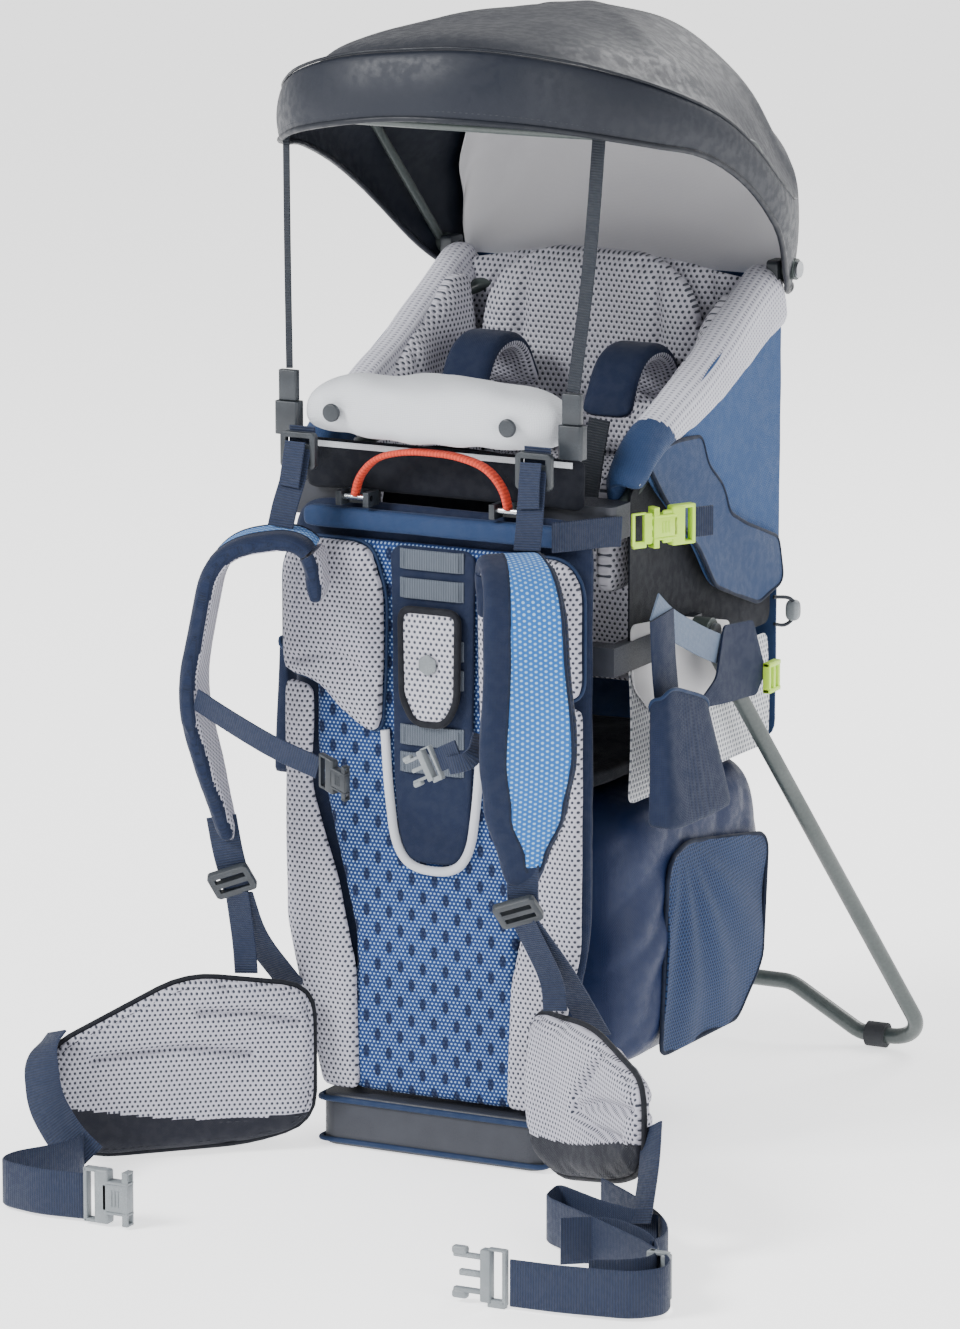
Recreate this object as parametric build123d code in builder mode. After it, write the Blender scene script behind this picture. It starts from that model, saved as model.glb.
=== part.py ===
from build123d import *
import os

os.makedirs("parts", exist_ok=True)

# A framed child carrier, in millimetres. +X is to the viewer's right, +Y runs from the wearer's
# back into the pack, +Z is up, and the base rests on the plane Z = 0 at the origin.

# Base and tubular frame
base_half_width = 104
base_front_y = -6
base_back_y = 62
base_height = 44
tube_radius = 7
socket_play = 0.05
frame_x = 92
frame_y = 36
frame_top_z = 600
frame_bend = 40

# Rear hoop that carries the rim of the child's seat
hoop_radius = 6
hoop_x = 141
hoop_front = (50, 540)
hoop_rear = (330, 684)
hoop_bend = 70

# Kickstand
pivot_y = 178
pivot_z = 425
arm_inner_x = 141
arm_outer_x = 151
eye_inner_x = 152
eye_outer_x = 167
pin_radius = 4
pin_play = 0.06
foot_x = 228
foot_y = 492
foot_radius = 11
crossbar_rise = 39
stand_bend = 30

# Back panel layers, from the pack towards the wearer
panel_back_y = 26
panel_front_y = 12
mesh_front_y = 4
pad_front_y = -12
plate_front_y = 0
panel_half_width = 140
panel_top_z = 545

# Child's seat and storage bag
side_x = 152
fabric = 3
rear_y = 339
seat_z = 300
bag_bottom_z = 62
rim_front = (58, 574)
rim_rear = (318, 694)

# Hip belt
fin_root = (98, -16)
fin_length = 232
fin_run = (0.77, -0.638)
fin_thickness = 20
webbing_width = 38
webbing_thickness = 2.4

# Canopy
canopy_y = 335
canopy_z = 706
hood_center_y = 195
hood_radius_x = 200
hood_radius_y = 262
hood_low_z = 832
hood_band_z = 884
hood_top_z = 922
hood_wall = 3

SIDES = ((-1, "left"), (1, "right"))


def save(piece, name):
    """Labels a finished piece and writes its file."""
    piece.part.label = name
    export_step(piece.part, f"parts/{name}.step")


def front_plane(y):
    """The upright plane at depth y, seen by the wearer's back: extruding goes towards -Y."""
    return Plane.XZ.offset(-y)


def side_plane(x):
    """The upright plane at width x, whose sketch runs along Y and Z: extruding goes towards +X."""
    return Plane.YZ.offset(x)


def strap_plane(start, end, across):
    """A plane with its x along the strap from start to end and its y along the webbing's width."""
    along = (Vector(*end) - Vector(*start)).normalized()
    return Plane(origin=start, x_dir=along, z_dir=along.cross(Vector(*across)).normalized())


def span(start, end):
    """The length of a straight strap."""
    return (Vector(*end) - Vector(*start)).length


# ---------------------------------------------------------------- frame
with BuildPart() as base_pan:
    with BuildSketch(Plane.XY):
        with Locations((0, (base_front_y + base_back_y) / 2)):
            RectangleRounded(2 * base_half_width, base_back_y - base_front_y, 16)
    extrude(amount=base_height)
    fillet(base_pan.edges().group_by(Axis.Z)[0], radius=4)
    with Locations((-frame_x, frame_y, 12), (frame_x, frame_y, 12)):
        Cylinder(
            tube_radius + socket_play,
            base_height,
            align=(Align.CENTER, Align.CENTER, Align.MIN),
            mode=Mode.SUBTRACT,
        )
save(base_pan, "base_pan")

with BuildPart() as main_frame:
    with BuildLine():
        FilletPolyline(
            (-frame_x, frame_y, 12),
            (-frame_x, frame_y, frame_top_z),
            (frame_x, frame_y, frame_top_z),
            (frame_x, frame_y, 12),
            radius=frame_bend,
        )
    with BuildSketch(Plane.XY.offset(12)):
        with Locations((-frame_x, frame_y)):
            Circle(tube_radius)
    sweep()
save(main_frame, "main_frame")

# Two flat stays stiffen the panel between the legs of the frame.
stay_width = 20
stay_thickness = 3
with BuildPart() as back_stays:
    for side, _ in SIDES:
        with BuildSketch(front_plane(panel_back_y + 1)):
            with Locations((side * 45, 300)):
                Rectangle(stay_width, 470)
        extrude(amount=-stay_thickness)
save(back_stays, "back_stays")

hoop_run = Vector(0, hoop_rear[0] - hoop_front[0], hoop_rear[1] - hoop_front[1])
with BuildPart() as seat_hoop:
    with BuildLine():
        FilletPolyline(
            (-hoop_x, *hoop_front),
            (-hoop_x, *hoop_rear),
            (hoop_x, *hoop_rear),
            (hoop_x, *hoop_front),
            radius=hoop_bend,
        )
    with BuildSketch(Plane(origin=(-hoop_x, *hoop_front), x_dir=(1, 0, 0), z_dir=hoop_run)):
        Circle(hoop_radius)
    sweep()
save(seat_hoop, "seat_hoop")

# Each joiner clamps a leg of the frame and takes one front end of the hoop.
joiner_low_z = 524
joiner_high_z = 552
with BuildPart() as hoop_joiners:
    for side, _ in SIDES:
        with BuildSketch(Plane.XY.offset(joiner_low_z)):
            with Locations((side * 114, 47)):
                RectangleRounded(70, 38, 8)
        extrude(amount=joiner_high_z - joiner_low_z)
    for side, _ in SIDES:
        with BuildSketch(Plane.XY.offset(joiner_low_z)):
            with Locations((side * frame_x, frame_y)):
                Circle(tube_radius + socket_play)
        extrude(amount=joiner_high_z - joiner_low_z, mode=Mode.SUBTRACT)
        socket = Plane(origin=(side * hoop_x, *hoop_front), x_dir=(1, 0, 0), z_dir=hoop_run)
        with BuildSketch(socket):
            Circle(hoop_radius + socket_play)
        extrude(amount=60, mode=Mode.SUBTRACT)
save(hoop_joiners, "hoop_joiners")

arm_half_height = 12
with BuildPart() as side_arms:
    for side, _ in SIDES:
        with BuildSketch(Plane.XY.offset(pivot_z - arm_half_height)):
            with Locations((side * (78 + arm_outer_x) / 2, frame_y + 1)):
                Rectangle(arm_outer_x - 78, 20)
            with Locations((side * (arm_inner_x + arm_outer_x) / 2, (frame_y - 9 + pivot_y + 14) / 2)):
                Rectangle(arm_outer_x - arm_inner_x, pivot_y + 14 - frame_y + 9)
            with Locations((side * frame_x, frame_y)):
                Circle(tube_radius + socket_play, mode=Mode.SUBTRACT)
        extrude(amount=2 * arm_half_height)
        with BuildSketch(side_plane(side * arm_inner_x)):
            with Locations((pivot_y, pivot_z)):
                Circle(pin_radius + socket_play)
        extrude(amount=side * 20, mode=Mode.SUBTRACT)
save(side_arms, "side_arms")


# ---------------------------------------------------------------- kickstand
stand_x = (eye_inner_x + eye_outer_x) / 2
stand_top = (stand_x, pivot_y, pivot_z)
stand_corner = (foot_x, foot_y, foot_radius)
flat_end = (165, foot_y, foot_radius)
arch_end = (100, foot_y - 4, foot_radius + crossbar_rise)
half_route = (stand_top, stand_corner, flat_end, arch_end)
other_half = [(-x, y, z) for x, y, z in half_route]
stand_run = Vector(*stand_corner) - Vector(*stand_top)
with BuildPart() as kickstand_tube:
    with BuildLine():
        FilletPolyline(*half_route, *reversed(other_half), radius=stand_bend)
    with BuildSketch(Plane(origin=stand_top, z_dir=stand_run)):
        Circle(tube_radius)
    sweep()
    for side, _ in SIDES:
        with BuildSketch(side_plane(side * eye_inner_x)):
            with Locations((pivot_y, pivot_z)):
                Circle(12)
        extrude(amount=side * (eye_outer_x - eye_inner_x))
    for side, _ in SIDES:
        with BuildSketch(side_plane(side * (eye_inner_x - 5))):
            with Locations((pivot_y, pivot_z)):
                Circle(pin_radius + pin_play)
        extrude(amount=side * 30, mode=Mode.SUBTRACT)
save(kickstand_tube, "kickstand_tube")

foot_inner_x = 172
foot_outer_x = 190
with BuildPart() as kickstand_feet:
    for side, _ in SIDES:
        with BuildSketch(side_plane(side * foot_inner_x)):
            with Locations((foot_y, foot_radius)):
                Circle(foot_radius)
                Circle(tube_radius + socket_play, mode=Mode.SUBTRACT)
        extrude(amount=side * (foot_outer_x - foot_inner_x))
save(kickstand_feet, "kickstand_feet")

# ---------------------------------------------------------------- back panel
with BuildPart() as back_panel:
    with BuildSketch(front_plane(panel_back_y)):
        with Locations((0, (panel_top_z + base_height + 1) / 2)):
            RectangleRounded(2 * panel_half_width, panel_top_z - base_height - 1, 36)
    extrude(amount=panel_back_y - panel_front_y)
save(back_panel, "back_panel")

with BuildPart() as back_mesh_panel:
    with BuildSketch(front_plane(panel_front_y)) as mesh_outline:
        with BuildLine():
            Polyline(
                (-80, base_height + 1),
                (80, base_height + 1),
                (74, 180),
                (112, 330),
                (112, 516),
                (-112, 516),
                (-112, 330),
                (-74, 180),
                close=True,
            )
        make_face()
        fillet(mesh_outline.vertices(), radius=10)
    extrude(amount=panel_front_y - mesh_front_y)
save(back_mesh_panel, "back_mesh_panel")

upper_pad_edge = 42
with BuildPart() as upper_pads:
    for side, _ in SIDES:
        with BuildSketch(front_plane(mesh_front_y)) as outline:
            with BuildLine():
                Polyline(
                    (side * upper_pad_edge, 512),
                    (side * 132, 512),
                    (side * 132, 372),
                    (side * 84, 352),
                    (side * upper_pad_edge, 372),
                    close=True,
                )
            make_face()
            fillet(outline.vertices(), radius=14)
        extrude(amount=mesh_front_y - pad_front_y)
    fillet(upper_pads.edges().group_by(Axis.Y)[0], radius=6)
save(upper_pads, "upper_pads")

with BuildPart() as lower_pads:
    for side, _ in SIDES:
        with BuildSketch(front_plane(mesh_front_y)) as outline:
            with BuildLine():
                Polyline(
                    (side * 136, 344),
                    (side * 136, 168),
                    (side * 86, 152),
                    (side * 86, base_height + 2),
                    (side * 62, base_height + 2),
                    (side * 60, 150),
                    (side * 78, 230),
                    (side * 104, 344),
                    close=True,
                )
            make_face()
            fillet(outline.vertices(), radius=6)
        extrude(amount=mesh_front_y + 4)
save(lower_pads, "lower_pads")

with BuildPart() as yoke_band:
    with BuildSketch(front_plane(panel_front_y)):
        with Locations((0, 529)):
            RectangleRounded(236, 18, 6)
    extrude(amount=panel_front_y + 8)
save(yoke_band, "yoke_band")

# The shoulder harness hooks on a ladder of webbing on this plate, at the height for the wearer.
plate_half_width = 33
plate_low_z = 245
plate_high_z = 514
with BuildPart() as adjuster_plate:
    with BuildSketch(front_plane(mesh_front_y)):
        with Locations((0, (plate_low_z + plate_high_z) / 2)):
            RectangleRounded(2 * plate_half_width, plate_high_z - plate_low_z, 20)
    extrude(amount=mesh_front_y - plate_front_y)
save(adjuster_plate, "adjuster_plate")

rung_heights = (501, 477, 428, 404, 355, 332)
with BuildPart() as ladder_rungs:
    with BuildSketch(front_plane(plate_front_y)):
        with Locations(*[(0, z) for z in rung_heights]):
            Rectangle(58, 17)
    extrude(amount=2.5)
save(ladder_rungs, "ladder_rungs")

with BuildPart() as adjuster_flap:
    with BuildSketch(front_plane(plate_front_y - 3)):
        with Locations((0, 414)):
            RectangleRounded(54, 92, 14)
    extrude(amount=5)
save(adjuster_flap, "adjuster_flap")

trim_width = 7
with BuildPart() as plate_trim:
    with BuildSketch(front_plane(mesh_front_y)):
        with Locations((0, (plate_low_z - trim_width + 352) / 2)):
            RectangleRounded(2 * (plate_half_width + trim_width), 352 - plate_low_z + trim_width, 26)
        with Locations((0, (plate_low_z + plate_high_z) / 2)):
            RectangleRounded(2 * plate_half_width, plate_high_z - plate_low_z, 20, mode=Mode.SUBTRACT)
        with Locations((0, 352)):
            Rectangle(100, 60, mode=Mode.SUBTRACT)
    extrude(amount=mesh_front_y - plate_front_y + 3)
save(plate_trim, "plate_trim")

# ---------------------------------------------------------------- top of the back
with BuildPart() as label_panel:
    with BuildSketch(front_plane(24)):
        with Locations((0, 570)):
            RectangleRounded(256, 46, 5)
    extrude(amount=6)
save(label_panel, "label_panel")

chin_half_width = 117
with BuildPart() as chin_pad:
    with BuildSketch(side_plane(-chin_half_width)) as outline:
        with BuildLine():
            Polyline(
                (-22, 612),
                (-8, 596),
                (28, 596),
                (28, 609),
                (54, 609),
                (54, 640),
                (40, 650),
                (-6, 650),
                (-22, 636),
                close=True,
            )
        make_face()
    extrude(amount=2 * chin_half_width)
save(chin_pad, "chin_pad")

with BuildPart() as snap_buttons:
    with BuildSketch(front_plane(-22)):
        with Locations((-80, 620), (80, 620)):
            Circle(7.5)
    extrude(amount=4)
    fillet(snap_buttons.edges().group_by(Axis.Y)[0], radius=1.5)
save(snap_buttons, "snap_buttons")

# Grab handle: an arch of webbing between two barrels, each on its own pin.
handle_y = -2
handle_z = 548
handle_x = 70
handle_inner = 62
handle_reach = 42
with BuildPart() as grab_handle:
    with BuildSketch(front_plane(handle_y + 6)):
        with Locations((0, handle_z)):
            Ellipse(handle_inner + 16, handle_reach + 4)
            Ellipse(handle_inner, handle_reach - 6, mode=Mode.SUBTRACT)
        with Locations((0, handle_z - 60)):
            Rectangle(240, 120, mode=Mode.SUBTRACT)
    extrude(amount=12)
    for side, _ in SIDES:
        with BuildSketch(side_plane(side * (handle_x - 8))):
            with Locations((handle_y, handle_z)):
                Circle(5)
        extrude(amount=side * 16)
    for side, _ in SIDES:
        with BuildSketch(side_plane(side * (handle_x - 20))):
            with Locations((handle_y, handle_z)):
                Circle(2.56)
        extrude(amount=side * 40, mode=Mode.SUBTRACT)
save(grab_handle, "grab_handle")

with BuildPart() as handle_anchors:
    for side, _ in SIDES:
        with BuildSketch(Plane.XY.offset(541)):
            with Locations((side * handle_x, 2)):
                Rectangle(30, 19)
            with Locations((side * handle_x, -4)):
                Rectangle(20, 23, mode=Mode.SUBTRACT)
        extrude(amount=12)
    for side, _ in SIDES:
        with BuildSketch(side_plane(side * (handle_x - 20))):
            with Locations((handle_y, handle_z)):
                Circle(2.51)
        extrude(amount=side * 40, mode=Mode.SUBTRACT)
save(handle_anchors, "handle_anchors")

# Load lifters run from the ladder locks beside the chin pad down to the shoulder straps.
lifter_top = (107, -32, 590)
with BuildPart() as load_lifter_straps:
    for side, _ in SIDES:
        start = (side * 107, -34, 584)
        end = (side * 112, -52, 528)
        with BuildSketch(strap_plane(start, end, (1, 0, 0))):
            with Locations((span(start, end) / 2, 0)):
                Rectangle(span(start, end), 24)
        extrude(amount=1, both=True)
        with BuildSketch(front_plane(-22)):
            with Locations((side * 107, 590)):
                Rectangle(24, 34)
        extrude(amount=2.4)
save(load_lifter_straps, "load_lifter_straps")

# ---------------------------------------------------------------- shoulder harness
strap_width = 62
strap_foam = 12
strap_settings = {
    "left": ((-80, -44), (-0.94, -0.34)),
    "right": ((88, -42), (0.6, -0.8)),
}
strap_points = ((0, 466), (6, 524), (84, 512), (108, 390), (74, 262))
for word, (root, outward) in strap_settings.items():
    upright = Plane(
        origin=(*root, 0),
        x_dir=(*outward, 0),
        z_dir=(outward[1], -outward[0], 0),
    )
    with BuildPart() as shoulder_strap:
        with BuildSketch(upright):
            with BuildLine():
                FilletPolyline(*strap_points, radius=32)
                offset(amount=strap_foam / 2, side=Side.BOTH)
            make_face()
        extrude(amount=strap_width / 2, both=True)
    save(shoulder_strap, f"shoulder_strap_{word}")

lower_straps = {
    "left": ((-146, -64, 222), (-128, -2, 128)),
    "right": ((134, -98, 236), (152, -2, 122)),
}
with BuildPart() as strap_webbing:
    for start, end in lower_straps.values():
        with BuildSketch(strap_plane(start, end, (0.9, 0.44, 0))):
            with Locations((span(start, end) / 2, 0)):
                Rectangle(span(start, end), 24)
        extrude(amount=1.2, both=True)
save(strap_webbing, "strap_webbing")

with BuildPart() as ladder_locks:
    for start, end in lower_straps.values():
        with BuildSketch(strap_plane(start, end, (0.9, 0.44, 0)).offset(-2)):
            with Locations((-14, 0)):
                RectangleRounded(26, 36, 4)
                with Locations((5, 0), (-5, 0)):
                    Rectangle(5, 26, mode=Mode.SUBTRACT)
        extrude(amount=6)
    for side, _ in SIDES:
        with BuildSketch(front_plane(-26)):
            with Locations((side * lifter_top[0], 588)):
                RectangleRounded(32, 30, 4)
                with Locations((0, 8), (0, -8)):
                    Rectangle(22, 5, mode=Mode.SUBTRACT)
        extrude(amount=6)
save(ladder_locks, "ladder_locks")

# Sternum strap, undone: each half hangs from its own shoulder strap.
sternum = {
    "left": ((-158, -112, 392), (-38, -126, 350)),
    "right": ((92, -132, 378), (72, -128, 368)),
}
with BuildPart() as sternum_webbing:
    for start, end in sternum.values():
        with BuildSketch(strap_plane(start, end, (0, 0, 1))):
            with Locations((span(start, end) / 2, 0)):
                Rectangle(span(start, end), 19)
        extrude(amount=1, both=True)
save(sternum_webbing, "sternum_webbing")

with BuildPart() as sternum_buckles:
    for start, end in sternum.values():
        with BuildSketch(strap_plane(start, end, (0, 0, 1)).offset(-5)):
            with Locations((span(start, end) + 17, 0)):
                RectangleRounded(32, 26, 5)
        extrude(amount=10)
save(sternum_buckles, "sternum_buckles")

# ---------------------------------------------------------------- hip belt
fin_profiles = {
    "left": ((4, 22), (60, 6), (fin_length - 40, 3), (fin_length, 26), (fin_length, 96), (110, 152), (4, 138)),
    "right": ((4, 30), (50, 12), (fin_length - 60, 40), (fin_length, 64), (fin_length, 136), (110, 152), (4, 142)),
}
for side, word in SIDES:
    along = (side * fin_run[0], fin_run[1])
    upright = Plane(
        origin=(side * fin_root[0], fin_root[1], 0),
        x_dir=(*along, 0),
        z_dir=(along[1], -along[0], 0),
    )
    with BuildPart() as hip_fin:
        with BuildSketch(upright) as outline:
            with BuildLine():
                Polyline(*fin_profiles[word], close=True)
            make_face()
            fillet(outline.vertices(), radius=10)
        extrude(amount=fin_thickness / 2, both=True)
        fillet(hip_fin.edges().filter_by(GeomType.CIRCLE, reverse=True).filter_by_position(
            Axis.Z, 20, 160), radius=4)
    save(hip_fin, f"hip_fin_{word}")

# The belt webbing leaves each fin's tip and lies on its edge on the floor as far as its buckle.
belt_start = (fin_root[0] + fin_run[0] * (fin_length + 2), fin_root[1] + fin_run[1] * (fin_length + 2))
belt_routes = {
    "left": ((-belt_start[0], belt_start[1]), (-294, -206), (-232, -236), (-236, -310), (-160, -297)),
    "right": (belt_start, (284, -200), (206, -176), (352, -300), (350, -332), (292, -352), (252, -356)),
}
belt_rise = 104
for side, word in SIDES:
    with BuildPart() as hip_webbing:
        with BuildSketch(Plane.XY):
            with BuildLine():
                FilletPolyline(*belt_routes[word], radius=6)
                offset(amount=webbing_thickness / 2, side=Side.BOTH)
            make_face()
        extrude(amount=webbing_width)
        with BuildSketch(Plane.XY):
            with Locations((side * belt_start[0], belt_start[1] - 5)):
                Rectangle(webbing_thickness, 12)
        extrude(amount=belt_rise)
    save(hip_webbing, f"hip_webbing_{word}")

buckle_length = 42
with BuildPart() as hip_buckle_female:
    with BuildSketch(Plane.XY.offset(1)) as outline:
        with Locations((-157 + buckle_length / 2, -297)):
            RectangleRounded(buckle_length, 12, 4)
    extrude(amount=46)
    with BuildSketch(side_plane(-130)):
        with Locations((-297, 24)):
            Rectangle(7, 30)
    extrude(amount=20, mode=Mode.SUBTRACT)
save(hip_buckle_female, "hip_buckle_female")

with BuildPart() as hip_buckle_male:
    with BuildSketch(front_plane(-350)):
        with Locations((236, 24)):
            Rectangle(28, 46)
        with Locations((206, 24)):
            Rectangle(34, 12)
        with Locations((200, 24)):
            Rectangle(10, 42)
    extrude(amount=10)
save(hip_buckle_male, "hip_buckle_male")

# ---------------------------------------------------------------- child's seat
with BuildPart() as side_panels:
    for side, _ in SIDES:
        with BuildSketch(side_plane(side * side_x)):
            with BuildLine():
                Polyline(
                    (rim_front[0], 450),
                    rim_front,
                    rim_rear,
                    (rear_y - 1, 690),
                    (rear_y - 1, 450),
                    close=True,
                )
            make_face()
        extrude(amount=side * fabric)
save(side_panels, "side_panels")

with BuildPart() as side_flaps:
    for side, _ in SIDES:
        with BuildSketch(side_plane(side * (side_x + fabric + 0.5))) as outline:
            with BuildLine():
                Polyline((80, 470), (80, 560), (150, 590), (310, 600), (310, 444), (160, 448), close=True)
            make_face()
            fillet(outline.vertices(), radius=16)
        extrude(amount=side * 5)
save(side_flaps, "side_flaps")

wing_inner_x = 106
with BuildPart() as head_wings:
    for side, _ in SIDES:
        with BuildSketch(side_plane(side * wing_inner_x)) as outline:
            with BuildLine():
                Polyline((76, 556), (76, 596), (284, 700), (284, 656), close=True)
            make_face()
            fillet(outline.vertices(), radius=12)
        extrude(amount=side * 26)
save(head_wings, "head_wings")

with BuildPart() as harness_pads:
    for side, _ in SIDES:
        with BuildSketch(side_plane(side * 46)):
            with BuildLine():
                FilletPolyline((277, 604), (254, 642), (206, 640), (178, 600), radius=18)
                offset(amount=5, side=Side.BOTH)
            make_face()
        extrude(amount=side * 44)
save(harness_pads, "harness_pads")

with BuildPart() as rear_panel:
    with BuildSketch(front_plane(rear_y)):
        with Locations((0, (seat_z + 700) / 2)):
            RectangleRounded(2 * side_x - 2, 700 - seat_z, 30)
    extrude(amount=-fabric)
save(rear_panel, "rear_panel")

with BuildPart() as seat_back_pad:
    with BuildSketch(front_plane(322)):
        with Locations((0, 452)):
            RectangleRounded(240, 214, 24)
    extrude(amount=26)
    fillet(seat_back_pad.edges().group_by(Axis.Y)[0], radius=8)
save(seat_back_pad, "seat_back_pad")

with BuildPart() as head_rest:
    with BuildSketch(front_plane(314)):
        with Locations((0, 640)):
            RectangleRounded(196, 156, 60)
        with Locations((0, 600)):
            RectangleRounded(196, 76, 12)
    extrude(amount=24)
    fillet(head_rest.edges().group_by(Axis.Y)[0], radius=9)
save(head_rest, "head_rest")

with BuildPart() as seat_base:
    with BuildSketch(Plane.XY.offset(seat_z)):
        with Locations((0, 176)):
            RectangleRounded(220, 236, 30)
    extrude(amount=22)
    fillet(seat_base.edges().group_by(Axis.Z)[-1], radius=8)
save(seat_base, "seat_base")

with BuildPart() as front_liner:
    with BuildSketch(front_plane(52)):
        with Locations((0, 455)):
            RectangleRounded(148, 262, 20)
    extrude(amount=4)
save(front_liner, "front_liner")

# ---------------------------------------------------------------- storage bag
bag_half_width = 149
with BuildPart() as storage_bag:
    with BuildSketch(side_plane(-bag_half_width)) as outline:
        with BuildLine():
            Polyline(
                (66, bag_bottom_z + 6),
                (280, bag_bottom_z),
                (312, 100),
                (rear_y - 1, 200),
                (rear_y - 1, seat_z),
                (66, seat_z),
                close=True,
            )
        make_face()
    extrude(amount=2 * bag_half_width)
    with BuildSketch(side_plane(-bag_half_width + fabric)):
        add(outline.sketch)
        offset(amount=-fabric, mode=Mode.REPLACE)
    extrude(amount=2 * (bag_half_width - fabric), mode=Mode.SUBTRACT)
save(storage_bag, "storage_bag")

with BuildPart() as side_pockets:
    for side, _ in SIDES:
        with BuildSketch(side_plane(side * bag_half_width)) as outline:
            with BuildLine():
                Polyline((120, 74), (278, 70), (308, 110), (316, 250), (150, 200), close=True)
            make_face()
            fillet(outline.vertices(), radius=8)
        extrude(amount=side * 3)
save(side_pockets, "side_pockets")

with BuildPart() as rear_pocket:
    with BuildSketch(front_plane(rear_y + fabric)):
        with Locations((0, 360)):
            RectangleRounded(230, 110, 30)
    extrude(amount=-20)
    fillet(rear_pocket.edges().group_by(Axis.Y)[-1], radius=9)
save(rear_pocket, "rear_pocket")

# Foot stirrups: an open trough hangs from a strap at each side of the seat.
stirrup_inner_x = 177
stirrup_outer_x = 209
stirrup_wall = 2.5
with BuildPart() as foot_stirrups:
    for side, _ in SIDES:
        middle_x = side * (stirrup_inner_x + stirrup_outer_x) / 2
        with BuildSketch(Plane.XY.offset(290)):
            with Locations((middle_x, 84)):
                RectangleRounded(stirrup_outer_x - stirrup_inner_x, 120, 10)
        extrude(amount=92)
        with BuildSketch(Plane.XY.offset(290 + stirrup_wall)):
            with Locations((middle_x, 84)):
                RectangleRounded(
                    stirrup_outer_x - stirrup_inner_x - 2 * stirrup_wall, 120 - 2 * stirrup_wall, 8
                )
        extrude(amount=92, mode=Mode.SUBTRACT)
save(foot_stirrups, "foot_stirrups")

with BuildPart() as stirrup_straps:
    for side, _ in SIDES:
        start = (side * (stirrup_inner_x - 1), 52, 464)
        end = (side * (stirrup_inner_x - 1), 236, 396)
        with BuildSketch(strap_plane(start, end, (0, 0, 1))):
            with Locations((span(start, end) / 2, 0)):
                Rectangle(span(start, end), 24)
        extrude(amount=1, both=True)
        with BuildSketch(side_plane(side * (stirrup_inner_x - 2))):
            with Locations((84, 400)):
                Rectangle(26, 90)
        extrude(amount=side * 2)
save(stirrup_straps, "stirrup_straps")

# ---------------------------------------------------------------- side entry buckle
buckle_plane = Plane(origin=(164, 60, 532), x_dir=(0.5, 0.866, 0), z_dir=(0.866, -0.5, 0))
with BuildPart() as side_buckle_female:
    with BuildSketch(buckle_plane):
        with Locations((24, 0)):
            RectangleRounded(40, 34, 5)
    extrude(amount=12)
    with BuildSketch(buckle_plane.offset(3)):
        with Locations((16, 0)):
            Rectangle(34, 25)
    extrude(amount=6, mode=Mode.SUBTRACT)
save(side_buckle_female, "side_buckle_female")

with BuildPart() as side_buckle_male:
    with BuildSketch(buckle_plane.offset(3.5)):
        with Locations((-12, 0)):
            RectangleRounded(24, 30, 4)
        with Locations((12, 0)):
            Rectangle(30, 6)
        with Locations((12, 9.5), (12, -9.5)):
            Rectangle(26, 4)
        with Locations((0, 0)):
            Rectangle(6, 23)
    extrude(amount=5)
save(side_buckle_male, "side_buckle_male")

with BuildPart() as side_buckle_strap:
    with BuildSketch(buckle_plane.offset(5)):
        with Locations((54.5, 0)):
            Rectangle(20, 25)
    extrude(amount=2)
save(side_buckle_strap, "side_buckle_strap")

# ---------------------------------------------------------------- canopy
with BuildPart() as canopy_hood:
    with BuildSketch(Plane.XZ.offset(-hood_center_y)):
        with BuildLine():
            outer_low = (hood_radius_y, hood_low_z)
            outer_band = (hood_radius_y - 4, hood_band_z)
            Line(outer_low, outer_band)
            ThreePointArc(outer_band, (hood_radius_y * 0.62, hood_top_z - 8), (0, hood_top_z))
            Line((0, hood_top_z), (0, hood_top_z - hood_wall))
            inner_band = (hood_radius_y - 4 - hood_wall, hood_band_z - 1)
            ThreePointArc(
                (0, hood_top_z - hood_wall),
                (hood_radius_y * 0.61, hood_top_z - 8 - hood_wall),
                inner_band,
            )
            Line(inner_band, (hood_radius_y - hood_wall, hood_low_z))
            Line((hood_radius_y - hood_wall, hood_low_z), outer_low)
        make_face()
    revolve(axis=Axis((0, hood_center_y, 0), (0, 0, 1)))
    scale(by=(hood_radius_x / hood_radius_y, 1, 1))
save(canopy_hood, "canopy_hood")

with BuildPart() as canopy_rear_panel:
    with BuildSketch(Plane.XY.offset(canopy_z + 14)):
        with Locations((0, 300)):
            Ellipse(186, 128)
            Ellipse(186 - fabric, 128 - fabric, mode=Mode.SUBTRACT)
        with Locations((0, 200)):
            Rectangle(500, 304, mode=Mode.SUBTRACT)
    extrude(amount=hood_low_z - canopy_z - 14 - 1)
save(canopy_rear_panel, "canopy_rear_panel")

rod_radius = 4
rod_points = [(164, canopy_y, canopy_z), (178, 230, 826), (128, 6, 856)]
rod_other = [(-x, y, z) for x, y, z in rod_points]
with BuildPart() as canopy_rod:
    with BuildLine():
        FilletPolyline(*rod_points, *reversed(rod_other), radius=40)
    with BuildSketch(Plane(origin=rod_points[0], z_dir=Vector(*rod_points[1]) - Vector(*rod_points[0]))):
        Circle(rod_radius)
    sweep()
    for side, _ in SIDES:
        with BuildSketch(side_plane(side * 159)):
            with Locations((canopy_y, canopy_z)):
                Circle(9)
        extrude(amount=side * 10)
    for side, _ in SIDES:
        with BuildSketch(side_plane(side * 150)):
            with Locations((canopy_y, canopy_z)):
                Circle(3.06)
        extrude(amount=side * 30, mode=Mode.SUBTRACT)
save(canopy_rod, "canopy_rod")

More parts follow.
